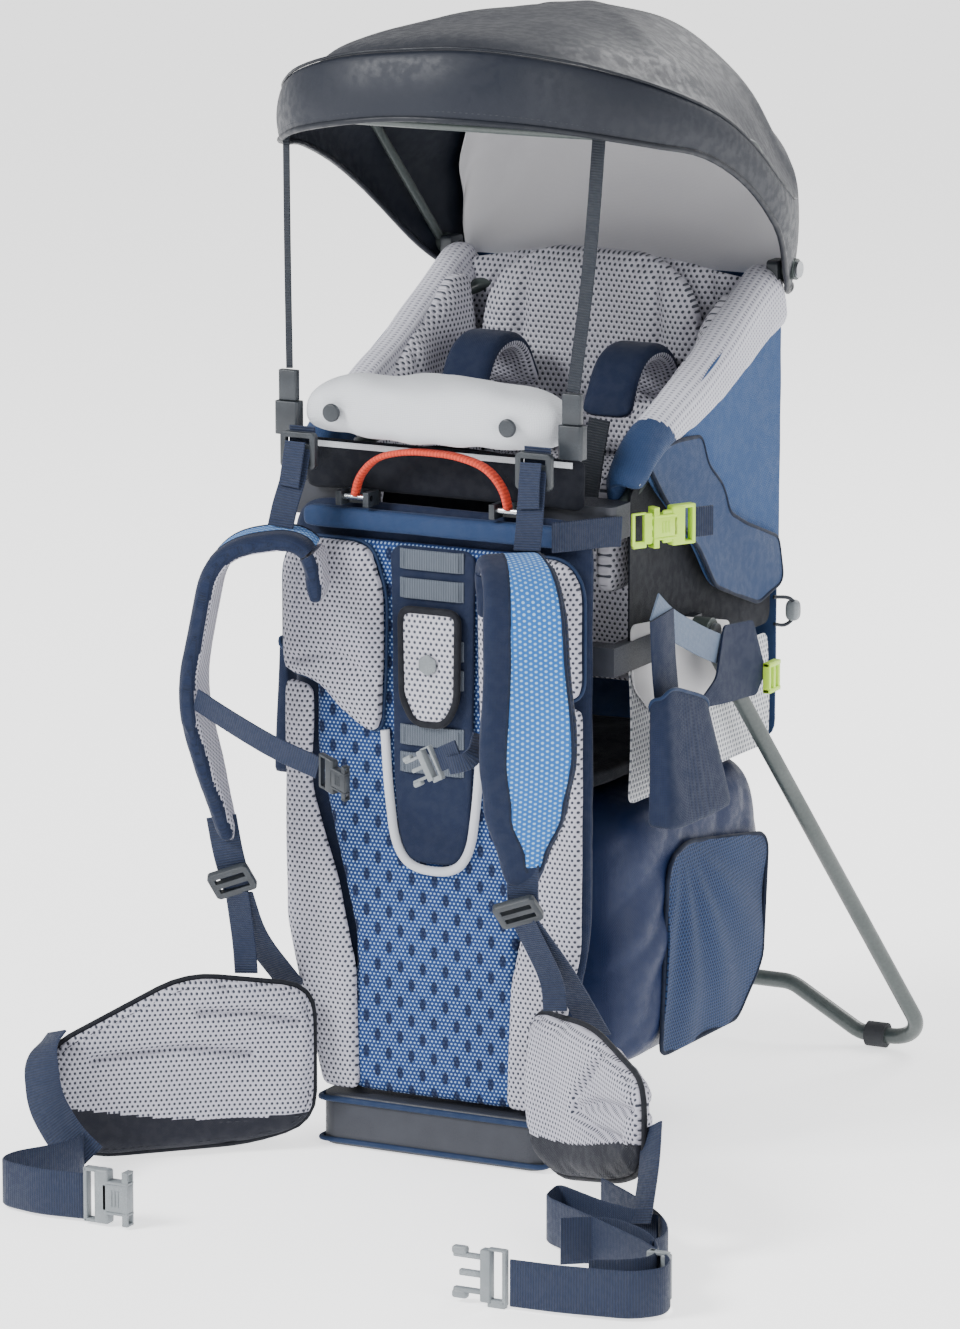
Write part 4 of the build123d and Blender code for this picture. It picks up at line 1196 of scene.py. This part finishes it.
# %% Hip webbing on the floor
left_route = [
    (-236, -176, 21), (-222, -190, 21), (-216, -206, 21), (-226, -236, 21), (-244, -266, 21), (-242, -292, 21),
    (-200, -302, 21), (-160, -297, 21)
]
right_route = [
    (300, -196, 21), (246, -180, 21), (190, -150, 21), (196, -186, 21), (262, -226, 21), (318, -262, 21),
    (360, -296, 21), (368, -322, 21), (350, -344, 21), (292, -354, 21), (252, -356, 21)
]
hip_left = [
    strap("band", left_route, (0, 0, 1), 38, 2.0, turn=14, step=3),
    strap(
        "riser", [(-264, -160, 112), (-270, -178, 96), (-258, -192, 62), (-236, -196, 34), (-218, -190, 16)],
        (0.75, 0.1, 0.65), 36, 2.0, turn=14, step=3
    ),
]
settle(join("hip_belt_webbing_left", *hip_left), navy_web, "hip_belt_left", "webbing", "hip_webbing_left")
hip_right = [
    strap("band", right_route, (0, 0, 1), 38, 2.0, turn=12, step=3),
    strap(
        "riser", [(279.5, -165, 102), (286, -182, 74), (287, -199, 32)], (-0.5, 0.6, 0.4), 34, 2.0, turn=14, step=3
    ),
    strap(
        "fold", [(214, -120, 21), (256, -150, 21), (306, -196, 21), (330, -238, 21), (326, -262, 21)], (0, 0, 1),
        38, 2.0, turn=24, step=3
    ),
    strap(
        "fold",
        [(236, -238, 21), (268, -214, 21), (316, -240, 21), (346, -286, 21), (340, -312, 21), (306, -330, 21)],
        (0, 0, 1), 38, 2.0, turn=24, step=3
    ),
]
settle(join("hip_belt_webbing_right", *hip_right), navy_web, "hip_belt_right", "webbing", "hip_webbing_right")
bars = [block("bar", (336 + dx, -291, 0.5 + dz), (343 + dx, -283, 41 - dz), 1.2) for dx, dz in ((0, 0), (12, 2))]
bars += [block("rail", (337, -290, z), (354, -284, z + 3.4), 1.0) for z in (0.6, 37.6)]
settle(join("hip_webbing_slider", *bars), grey_plastic, "hip_belt_right", "grey_plastic")
print("hip webbing done")

# %% [markdown]
# ## The child's seat
# Above the frame the seat is a deep padded well. The head rest, its two rolled wings and the harness pads
# are pale spacer mesh, and the inside is dark cloth. Each is its own stuffed pad, so they press against
# each other with a real crease between them.

# %% Head rest
collar_mesh = spacer_mesh(
    "collar_fine_mesh", "#C2C2CC", "#ACACB8", "#7A7A88", pitch=(0.0036, 0.0034), size=(0.24, 0.28), bump=0.4
)
rest_cut = [(-104, 545), (-106, 640), (-94, 690), (-52, 718), (52, 718), (94, 690), (106, 640), (104, 545)]
rest = cushion("head_rest_pad", rest_cut, 14, 9, voxel=5, round_by=22)
for line in (
    [(-92, 602), (-40, 588), (40, 588), (92, 602)], [(-60, 700), (-64, 650), (-70, 604)],
    [(60, 700), (64, 650), (70, 604)]
):
    press_line(rest, line, 0.4, 5)
lay(rest, lambda x, y, z: (x, 302 - z - 10 * (abs(x) / 98) ** 2 + 0.05 * (y - 640), y), ruffle=5, scale=60)
settle(rest, pale_mesh, "frame", "grey_mesh", "head_rest")

# %% Inner walls and collar rolls
wing_cut = [(70, 470), (70, 566), (180, 630), (280, 690), (304, 690), (304, 470)]
rim_line = evenly(
    bend(
        [
            Vector((0, 60, 556)), Vector((0, 92, 588)), Vector((0, 210, 632)), Vector((0, 318, 690)),
            Vector((0, 336, 694))
        ],
        30
    ),
    4
)
rim_marks = [0.0]
for a, b in zip(rim_line, rim_line[1:]):
    rim_marks.append(rim_marks[-1] + (b - a).length)
rim_whole = rim_marks[-1]
for side, word in ((-1, "left"), (1, "right")):
    wing = cushion("head_wing_" + word, wing_cut, 12, 6, voxel=5.5, round_by=16)
    press_line(wing, [(200, 640), (190, 560), (196, 480)], 0.3, 5)

    def wing_place(x, y, z, side=side):
        lean = 10 * (y - 560) / 140 - 6 * max(0, (x - 240) / 60)
        return (side * (124 + lean + z), x, y)

    lay(wing, wing_place, ruffle=4, scale=45)
    settle(wing, pale_mesh, "frame", "grey_mesh", "head_wings")
    roll = cushion(
        "collar_roll_" + word, [(2, -40), (2, 18), (70, 30), (rim_whole - 2, 52), (rim_whole - 2, -46)], 8, 4,
        voxel=5, round_by=14
    )
    press_line(roll, [(0, -12), (rim_whole, -12)], 0.5, 3.5)

    def roll_place(x, y, z, side=side):
        """Folds the flat roll over the rim: y above nought goes down the outside."""
        s = max(0.0, min(rim_whole - 0.001, x))
        i = min(len(rim_line) - 2, int(s / rim_whole * (len(rim_line) - 1)))
        t = (s - rim_marks[i]) / max(1e-6, rim_marks[i + 1] - rim_marks[i])
        spot = rim_line[i].lerp(rim_line[i + 1], min(1, max(0, t)))
        way = (rim_line[min(len(rim_line) - 1, i + 4)] - rim_line[max(0, i - 3)]).normalized()
        up = Vector((0, -way.z, way.y))
        radius = 11.0
        turn = max(-math.pi / 2, min(math.pi / 2, y / radius))
        over = max(0.0, abs(y) - radius * math.pi / 2)
        out = Vector((side, 0, 0)) * math.sin(turn) + up * math.cos(turn)
        hang = Vector((0, 0.25, -0.97)) if y > 0 else Vector((0, 0.2, -0.98))
        splay = 0.10 * over if y > 0 else -0.05 * over
        return (
            Vector((side * 141, 0, 0)) + spot + out * (radius + z) + hang * over
            + Vector((side * splay, 0, 0)) + way * (x - s)
        )

    roll.data.materials.append(collar_mesh)
    roll.data.materials.append(slate_cloth)
    for face in roll.data.polygons:
        face.material_index = 1 if face.center.x / MM < 66 + 0.5 * (face.center.y / MM) else 0
    lay(roll, roll_place, ruffle=1.5, scale=60)
    settle(roll, collar_mesh, "frame", "grey_mesh")
    seam_run = [roll_place(x, 13.5, 5.2) for x in range(8, int(rim_whole) - 6, 5)]
    settle(stitches("collar_stitch_" + word, seam_run, 2.6, 2.2, 0.4), thread_pale, "frame", "grey_mesh")
print("head rest, inner walls and collar")

# %% Harness pads, seat cushions and liner
for side, word in ((-1, "left"), (1, "right")):
    sweep = evenly(
        bend(
            [Vector((0, 284, 600)), Vector((0, 258, 648)), Vector((0, 204, 646)), Vector((0, 176, 596))], 26,
            steps=8
        ),
        4
    )
    span = sum((b - a).length for a, b in zip(sweep, sweep[1:]))
    harness = cushion(
        "harness_pad_" + word, [(2, -25), (2, 25), (span - 2, 23), (span - 2, -23)], 7, 4, voxel=4.2, round_by=10
    )
    harness.data.materials.append(navy_cloth)
    harness.data.materials.append(grey_mesh)
    for face in harness.data.polygons:
        face.material_index = 1 if face.center.z < 0 else 0

    def arc_place(x, y, z, side=side, sweep=sweep, span=span):
        t = max(0, min(0.9999, x / span)) * (len(sweep) - 1)
        i = int(t)
        way = (sweep[min(len(sweep) - 1, i + 2)] - sweep[max(0, i - 1)]).normalized()
        up = Vector((0, way.z, -way.y))
        centre = sweep[i].lerp(sweep[min(i + 1, len(sweep) - 1)], t - i)
        return centre + up * (z - 3) + Vector((side * (68 + y), 0, 0))

    lay(harness, arc_place)
    settle(harness, navy_cloth, "frame", "navy_fabric", "harness_pads")
    settle(
        strap(
            "harness_tail_" + word,
            [(side * 66, 172, 596), (side * 62, 166, 560), (side * 52, 164, 470), (side * 44, 160, 340)], (1, 0, 0),
            20, 1.6, turn=20
        ),
        dark_web, "frame", "webbing"
    )
for name, centre, half, look, slot, node in (
    ("seat_back_cushion", (0, 309, 452), (119, 12, 106), pale_mesh, "grey_mesh", "seat_back_pad"),
    ("seat_base_cushion", (0, 176, 311), (109, 117, 11), ink_cloth, "navy_fabric", "seat_base"),
    ("front_liner_pad", (0, 50, 455), (74, 2.4, 130), ink_cloth, "navy_fabric", "front_liner"),
):
    part = pillow(name, centre, half, 4.5, 5, 2.5, 40)
    settle(part, look, "frame", slot, node)
rear_cut = [(-143, 480), (143, 480), (146, 696), (64, 712), (-64, 712), (-146, 696)]
inner_back = cushion("seat_rear_pad", rear_cut, 7, 3.5, voxel=5.5, round_by=18)
for side in (-1, 1):
    press_line(inner_back, [(side * 112, 480), (side * 110, 640), (side * 96, 706)], 0.4, 5)
lay(inner_back, lambda x, y, z: (x, 319 - z, y), ruffle=3, scale=50)
settle(inner_back, pale_mesh, "frame", "grey_mesh")
print("seat done")

# %% [markdown]
# ## The sides, the rear and the bag
# Cloth walls close the seat in, and a slanting band of cloth runs down each side past the side entry.
# Below the seat hangs the main bag. It is slack, so folds run down and back across its wall, and a mesh
# pocket is sewn on each side.


# %% A flat cut patch of cloth
def patch(name, outline, place, grid=9, thick=1.6, round_by=12):
    """A thin piece of cloth with any outline: cut on a grid, then laid on its curved place."""
    maker = bmesh.new()
    ring = [maker.verts.new((p.x * MM, p.y * MM, 0)) for p in bend([(*q, 0) for q in outline], round_by, True)]
    maker.faces.new(ring)
    for axis in (0, 1):
        low, high = min(p[axis] for p in outline), max(p[axis] for p in outline)
        for k in range(1, int((high - low) / grid)):
            spot, way = [0, 0, 0], [0, 0, 0]
            spot[axis], way[axis] = (low + k * grid) * MM, 1
            parts = maker.verts[:] + maker.edges[:] + maker.faces[:]
            bmesh.ops.bisect_plane(maker, geom=parts, dist=0.00001, plane_co=spot, plane_no=way)
    mesh = bpy.data.meshes.new(name)
    maker.to_mesh(mesh)
    maker.free()
    item = bpy.data.objects.new(name, mesh)
    bpy.context.collection.objects.link(item)
    layer = mesh.uv_layers.new(name="cloth")
    for loop in mesh.loops:
        co = mesh.vertices[loop.vertex_index].co
        layer.data[loop.index].uv = (co.x, co.y)
    for v in mesh.vertices:
        v.co = Vector(place(v.co.x / MM, v.co.y / MM)) * MM
    apply_modifier(item, "cloth_thickness", "SOLIDIFY", thickness=thick * MM, offset=0, use_even_offset=True)
    outwards(item)
    return item


# %% Side walls, flaps and rear wall
net_mesh = spacer_mesh("lower_side_net", "#D4D5D9", "#BCBEC5", "#6F747E", pitch=(0.0048, 0.0044), size=(0.3, 0.34))
wall_cloth = plain_cloth("side_wall_cloth", "#2E4A75", "#213A60", pitch=0.0016, rough=0.8, bump=0.5)
wall_cut = [
    (68, 580), (92, 596), (316, 694), (338, 694), (338, 436), (294, 428), (200, 460), (166, 498), (108, 546)
]
flap_side_cut = [
    (72, 588), (130, 592), (180, 588), (184, 564), (212, 542), (224, 517), (258, 502), (332, 478), (335, 440),
    (294, 428), (200, 459), (166, 497), (106, 546)
]
for side, word in ((-1, "left"), (1, "right")):
    def wall_place(x, y, side=side):
        puff = 2.6 * math.sin((x - 58) / 280 * math.pi) * math.sin((y - 450) / 244 * math.pi)
        return (side * (152.8 + puff + 1.2 * noise.noise(Vector((x, y, side * 9)) / 40)), x, y)

    wall = patch("side_wall_" + word, wall_cut, wall_place, 9, 1.6, 14)
    settle(wall, wall_cloth, "frame", "slate_fabric", "side_panels")

    def flap_place(x, y, side=side):
        u, v = (x - 70) / 266, (y - 428) / 164
        puff = 5.5 * math.sin(max(0, min(1, u)) * math.pi) ** 0.6 * math.sin(max(0, min(1, v)) * math.pi) ** 0.6
        crease = 1.5 * math.sin((x * 0.8 + y * 1.1) / 13)
        return (side * (156.2 + puff * 0.5 + crease), x, y)

    wing_flap = patch("side_flap_" + word, flap_side_cut, flap_place, 7, 1.6, 9)
    settle(wing_flap, slate_cloth, "frame", "slate_fabric", "side_flaps")
    edge = [Vector(flap_place(p.x, p.y)) for p in bend([(*q, 0) for q in flap_side_cut], 9, True)]
    settle(piping("side_flap_welt_" + word, edge, 1.8, True), navy_cloth, "frame", "navy_fabric")
    # Painted shade: a near-black sheet just inside each side wall, showing below the wall's lower edge, stands for
    # the shade there.
    inner_cut = [
        (62, 424), (62, 560), (112, 566), (172, 516), (204, 478), (294, 446), (332, 452), (332, 404), (236, 404)
    ]
    shade = patch(
        "seat_side_painted_shade_" + word, inner_cut, lambda x, y,
        side=side: (side * (147 - 4 * math.sin((x - 62) / 86)), x, y), 12, 1.6, 12
    )
    settle(shade, ink_cloth, "frame", "navy_fabric")
    net_cut = [(64, 300), (64, 440), (120, 436), (236, 398), (330, 396), (330, 300)]
    net = patch(
        "lower_side_net_" + word, net_cut, lambda x, y,
        side=side: (side * (147 + 1.5 * math.sin(x / 37 + y / 29)), x, y), 12, 1.2, 10
    )
    settle(net, net_mesh, "frame", "light_fabric")


def rear_place(x, y):
    puff = 5 * math.cos(x / 151 * math.pi / 2) * math.sin((y - 300) / 400 * math.pi)
    return (x, 340 + puff + 1.5 * noise.noise(Vector((x, y, 3)) / 50), y)


rear = patch("rear_wall", [(-150, 301), (150, 301), (150, 699), (-150, 699)], rear_place, 12, 1.8, 18)
settle(rear, slate_cloth, "frame", "slate_fabric", "rear_panel")
print("walls done")


# %% The slack main bag
bag_cloth = plain_cloth("bag_coated_cloth", "#132347", "#0A1530", rough=0.48, sheen=0.02, bump=0.2)


def bag_shape(p):
    """Draws the bag in towards its foot, lets the middle hang out, and runs slanting folds over it."""
    depth = (300 - p.z) / 238
    p.x *= 1 + 0.015 * math.sin(depth * math.pi) - 0.10 * max(0, depth - 0.75)
    if p.y > 200:
        p.y -= 46 * max(0, depth - 0.45) ** 1.5 * ((p.y - 200) / 138)
    if abs(p.x) > 120:
        fold = math.sin((p.y - p.z * 0.9) / 17 + 1.6 * noise.noise(p / 60))
        p.x += math.copysign(3.4 * fold * min(1, depth * 2 + 0.15), p.x)
    if p.y > 300:
        p.y += 2.5 * math.sin((p.x + p.z * 0.7) / 21)
    return p


bag = pillow("main_bag", (0, 202, 181), (147.5, 135, 118), 6.5, 6, 4.0, 70, bag_shape)
settle(bag, bag_cloth, "frame", "slate_fabric", "storage_bag")
pocket_cut = [(122, 74), (124, 238), (160, 250), (314, 226), (312, 110), (286, 74)]
for side, word in ((-1, "left"), (1, "right")):
    def pocket_place(x, y, side=side):
        u, v = (x - 122) / 192, (y - 74) / 176
        depth = (300 - y) / 238
        swell = 1 + 0.015 * math.sin(depth * math.pi) - 0.10 * max(0, depth - 0.75)
        fan = 1.6 * math.sin(math.atan2(y - 262, x - 150) * 16) * min(1, math.hypot(x - 150, y - 262) / 90)
        back = 46 * max(0, depth - 0.45) ** 1.5 * max(0, (x - 200) / 138)
        bulge = 6 * math.sin(max(0, min(1, u)) * math.pi) * math.sin(max(0, min(1, v)) * math.pi)
        return (side * (147.5 * swell + 4.2 + bulge + fan), x - back, y)

    pocket = patch("bag_pocket_" + word, pocket_cut, pocket_place, 6, 1.6, 16)
    settle(pocket, pocket_mesh, "frame", "blue_mesh", "side_pockets")
    edge = [Vector(pocket_place(p.x, p.y)) for p in bend([(*q, 0) for q in pocket_cut], 16, True)]
    settle(piping("bag_pocket_binding_" + word, edge, 2.0, True), navy_cloth, "frame", "navy_fabric")
rear_pocket = pillow("rear_pocket_pouch", (0, 352, 360), (115, 10.5, 55), 3.6, 5, 2.0, 30)
settle(rear_pocket, navy_cloth, "frame", "navy_fabric", "rear_pocket")
print("bag done")

# %% Foot stirrups
for side, word in ((-1, "left"), (1, "right")):
    def cup(u, v, side=side):
        """Square in plan at the foot, drawn in and forward towards its top; the near one is fuller."""
        turn = u * 2 * math.pi
        c, s = math.cos(turn), math.sin(turn)
        power = 2 / 5
        ring = Vector((math.copysign(abs(c) ** power, c) * 15, math.copysign(abs(s) ** power, s) * 59, 0))
        share = min(1.0, v / 0.25)
        up = max(0.0, (v - 0.25) / 0.75)
        lift = 24 + 12 * side * c - 0.22 * (60 + ring.y)
        sag = 2.5 * math.sin(ring.y / 9 + up * 4) * up * (1 - up)
        x = 193 + side * ring.x * share * (1 - 0.35 * up) - 4 * up
        y = 84 + ring.y * share * (1 - 0.30 * up) - 14 * up
        if side < 0:
            x, y = 172 + (x - 177) * 0.56, 70 + (y - 24) * 0.66
        return Vector((side * (x + sag), y, 291 + up * (84 + lift * up)))

    pouch = panel("stirrup_pouch_" + word, cup, 40, 12, (150, 110), around=True, thick=2.0, soften=1, offset=-1)
    select_only(pouch)
    bpy.ops.object.mode_set(mode="EDIT")
    bpy.ops.mesh.select_all(action="SELECT")
    bpy.ops.mesh.remove_doubles(threshold=0.00003)
    bpy.ops.object.mode_set(mode="OBJECT")
    settle(pouch, navy_cloth, "frame", "navy_fabric", "foot_stirrups")
    settle(
        piping("stirrup_rim_" + word, [cup((k / 72) % 1, 1.0) for k in range(72)], 1.5, True), slate_cloth, "frame",
        "navy_fabric"
    )
hangers = []
for side in (-1, 1):
    start = [(side * 176, 50, 470), (side * 177.5, 74, 452)] if side > 0 else [(side * 172, 96, 446)]
    hangers.append(
        strap("hanger", [*start, (side * 177, 140, 424), (side * 176, 214, 398)], (0, 0.36, 0.93), 25, 1.8, turn=24)
    )
settle(join("stirrup_hanging_webbing", *hangers), stirrup_web, "frame", "webbing", "stirrup_straps")
settle(
    strap("side_entry_webbing", [(186, 98.6, 532), (190.5, 106.3, 532), (196.2, 115.6, 532)], (0, 0, 1), 25, 2.2),
    navy_web, "frame", "webbing", "side_buckle_strap"
)
drops = [
    strap("drop", [(178.6, 58, 462), (178.8, 62, 420), (178.8, 72, 372)], (0, 1, 0), 44, 1.8),
    strap("drop", [(-173, 108, 446), (-174, 102, 414), (-174.5, 96, 372)], (0, 1, 0), 34, 1.8)
]
settle(join("stirrup_drop_cloth", *drops), navy_cloth, "frame", "navy_fabric")
for side, word in ((-1, "left"), (1, "right")):
    cut = [(176, 432), (226, 428), (252, 380), (238, 362), (120, 372), (156, 392)]
    hook = patch(
        "stirrup_wing_" + word, cut, lambda x, y, side=side: (side * (180 + 1.2 * math.sin(x / 16 + y / 23)), x, y),
        7, 1.8, 4
    )
    settle(hook, navy_cloth, "frame", "navy_fabric")
    lock = [
        block("l", (side * 182, 245, 362), (side * 189, 267, 366), 1.0),
        block("l", (side * 182, 245, 384), (side * 189, 267, 388), 1.0)
    ]
    lock += [block("l", (side * 182, y, 362), (side * 188.5, y + 4, 388), 1.0) for y in (245, 254, 263)]
    settle(join("stirrup_lock_" + word, *lock), lime_plastic, "frame", "lime_plastic", angle=35)
    loop = bend(
        [
            Vector((side * 156, 322, 428)), Vector((side * 166, 338, 426)), Vector((side * 168, 346, 412)),
            Vector((side * 160, 340, 400)), Vector((side * 155, 326, 404))
        ],
        8
    )
    settle(piping("cord_loop_" + word, loop, 1.6), dark_web, "frame", "webbing")
    settle(
        pillow("cord_toggle_" + word, (side * 165, 342, 414), (6, 6, 9), 3.0, 4), grey_plastic, "frame",
        "grey_plastic"
    )
for side, word in ((-1, "left"), (1, "right")):
    shell_cut = [(62, 450), (150, 442), (252, 420), (236, 386), (200, 362), (100, 370), (64, 398)]
    shell = patch(
        "seat_side_shell_" + word, shell_cut, lambda x, y,
        side=side: (side * (150.2 + 1.4 * math.sin(x / 24 + y / 31)), x, y), 9, 1.4, 10
    )
    settle(shell, canopy_pale, "frame", "light_fabric")
entry = strap(
    "side_entry_front_webbing", [(152, 37, 532), (143, 22, 533), (128, -4, 533), (117, -17, 533)], (0, 0, 1), 25,
    2.0, turn=20
)
settle(entry, navy_web, "frame", "webbing")
print("stirrups done")

# %% [markdown]
# ## The canopy
# The hood is one continuous sheet, stretched over a bent rod: a deep brim in front, a dome over the
# child's head, and two sides that sweep down to the rear corners. It is drawn as rings, from the hem to a
# seam at the top of the brim, and on over the dome to its crown. Fine creases run out from where it is
# pulled, and a pale lining closes the back.

# %% Rings of the hood
hem = [
    (0, -62, 869), (52, -59, 866), (104, -36, 858), (144, 10, 845), (168, 62, 834), (184, 122, 822),
    (190, 190, 794), (187, 256, 752), (172, 306, 708), (158, 340, 686), (152, 358, 690), (122, 366, 692),
    (66, 371, 692), (0, 372, 692)
]
seam = [
    (0, -52, 924), (56, -48, 922), (108, -26, 911), (148, 22, 893), (174, 80, 874), (187, 146, 852),
    (191, 204, 824), (188, 262, 790), (176, 314, 770), (163, 346, 772), (152, 366, 786), (118, 404, 806),
    (66, 434, 822), (0, 446, 828)
]
crown = Vector((12, 215, 931))


def ring_point(points, t):
    """A point on a ring, t from 0 at the front, through the right side, to 1 at the front again."""
    across = 1 if t <= 0.5 else -1
    t = (t if t <= 0.5 else 1 - t) * 2 * (len(points) - 1)
    i = min(len(points) - 2, int(t))
    a, b = Vector(points[i]), Vector(points[i + 1])
    before = Vector(points[i - 1]) if i else Vector((-points[1][0], points[1][1], points[1][2]))
    after = Vector(points[i + 2]) if i + 2 < len(points) else Vector((-points[-2][0], points[-2][1], points[-2][2]))
    f = t - i
    p = 0.5 * (
        2 * a + (b - before) * f + (
            2 * before - 5 * a + 4 * b - after
        ) * f**2 + (3 * a - before - 3 * b + after) * f**3
    )
    return Vector((p.x * across, p.y, p.z))


def hood_place(u, v):
    """A point of the hood: u round it, and v from the hem over the brim seam, at 0.25, to the crown."""
    low, high = ring_point(hem, u), ring_point(seam, u)
    low.z += 0.07 * low.x * max(0.0, min(1.0, (240 - low.y) / 240))
    high.z += 0.10 * high.x * max(0.0, min(1.0, (240 - high.y) / 240))
    if v < 0.25:
        t = v / 0.25
        p = low.lerp(high, t)
        out = Vector((p.x, p.y - 195, 0)).normalized()
        return p + out * (4.0 * math.sin(t * math.pi))
    t = (v - 0.25) / 0.75
    lift = max(0.0, crown.z - high.z)
    knee = Vector((high.x * 0.70, 205 + (high.y - 205) * 0.72, high.z + lift * 0.98))
    p = high * (1 - t) ** 2 + knee * (2 * t * (1 - t)) + crown * t * t
    p.z -= 9.0 * math.exp(-((t - 0.12) / 0.09) ** 2)
    turn = u * 2 * math.pi
    pull = max(0.0, math.sin(t * math.pi)) * (1 - t)
    sides = min(1.0, lift / 60)
    p.z += pull * sides * 3.2 * math.sin(turn * 11 + t * 5)
    p.z += 3.0 * math.sin(t * math.pi) * noise.noise(p / 70)
    ridge = math.exp(-((abs(p.x) + (p.y - 150) * 0.9 - 120) / 14) ** 2)
    p.z += 3.0 * ridge * math.sin(t * math.pi) * (1 if p.y > 40 else 0)
    return p


hood = panel("canopy_hood_cloth", hood_place, 96, 24, (1250, 420), around=True, thick=1.2, soften=1, offset=0.0)
select_only(hood)
bpy.ops.object.mode_set(mode="EDIT")
bpy.ops.mesh.select_all(action="SELECT")
bpy.ops.mesh.remove_doubles(threshold=0.0002)
bpy.ops.mesh.normals_make_consistent(inside=False)
bpy.ops.object.mode_set(mode="OBJECT")
settle(hood, canopy_cloth, None, "canopy_fabric", "canopy_hood")
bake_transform(hood)
hem_line = [hood_place(k / 120, 0.0) for k in range(120)]
hem_binding = piping("canopy_hem_binding", hem_line, 2.6, True)
settle(hem_binding, canopy_cloth, None, "canopy_fabric")
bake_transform(hem_binding)
seam_line = [hood_place((k / 120) % 1, 0.25) + Vector((0, 0, 0.6)) for k in range(-38, 39)]
settle(piping("canopy_brim_seam", seam_line, 1.3), canopy_cloth, "canopy", "canopy_fabric")
settle(
    stitches("canopy_hem_stitch", [hood_place((k / 240) % 1, 0.03) for k in range(-84, 85)], 2.6, 2.2, 0.5),
    thread_dark, "canopy", "canopy_fabric"
)


# %% Pale lining at the back, and the tension straps
def lining_place(u, v):
    """Runs just inside the rear of the hood, from one rear corner to the other, in soft pleats."""
    t = 0.352 + 0.296 * u
    low, high = ring_point(hem, t), ring_point(seam, t)
    share = max(-1.0, min(1.0, low.x / 152))
    foot = Vector((low.x * 0.95, 351 + 8 * (1 - share * share), 694))
    heart = Vector((0, 190, 790))

    def inside(spot):
        return spot + (heart - spot).normalized() * 13

    if v < 0.6:
        p = foot.lerp(inside(hood_place(t, 0.25)), v / 0.6)
    else:
        p = inside(hood_place(t, 0.25 + (v - 0.6)))
    p.y += 9 * math.sin(min(1, v / 0.6) * math.pi) * (1 - share * share)
    pleat = 3.4 * math.sin(u * 26 + v * 9) * math.sin(min(1, v * 1.4) * math.pi) * (0.35 + abs(share))
    return p + Vector((0, -pleat, 0))


lining = panel("canopy_rear_lining", lining_place, 56, 16, (420, 180), thick=1.2, soften=1)
outwards(lining)
settle(lining, canopy_pale, None, "light_fabric", "canopy_rear_panel")
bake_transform(lining)
tension = []
for side in (-1, 1):
    tension.append(
        strap(
            "tension", [(side * 142, 16, 861), (side * 137, 8, 745), (side * 129, -4, 650)], (1, 0, 0),
            12 if side > 0 else 6, 1.4, turn=60
        )
    )
settle(join("canopy_tension_webbing", *tension), dark_web, "canopy", "webbing", "canopy_straps")
print("canopy done")

# %% [markdown]
# ## The finished carrier

# %% Finish
print("carrier done")
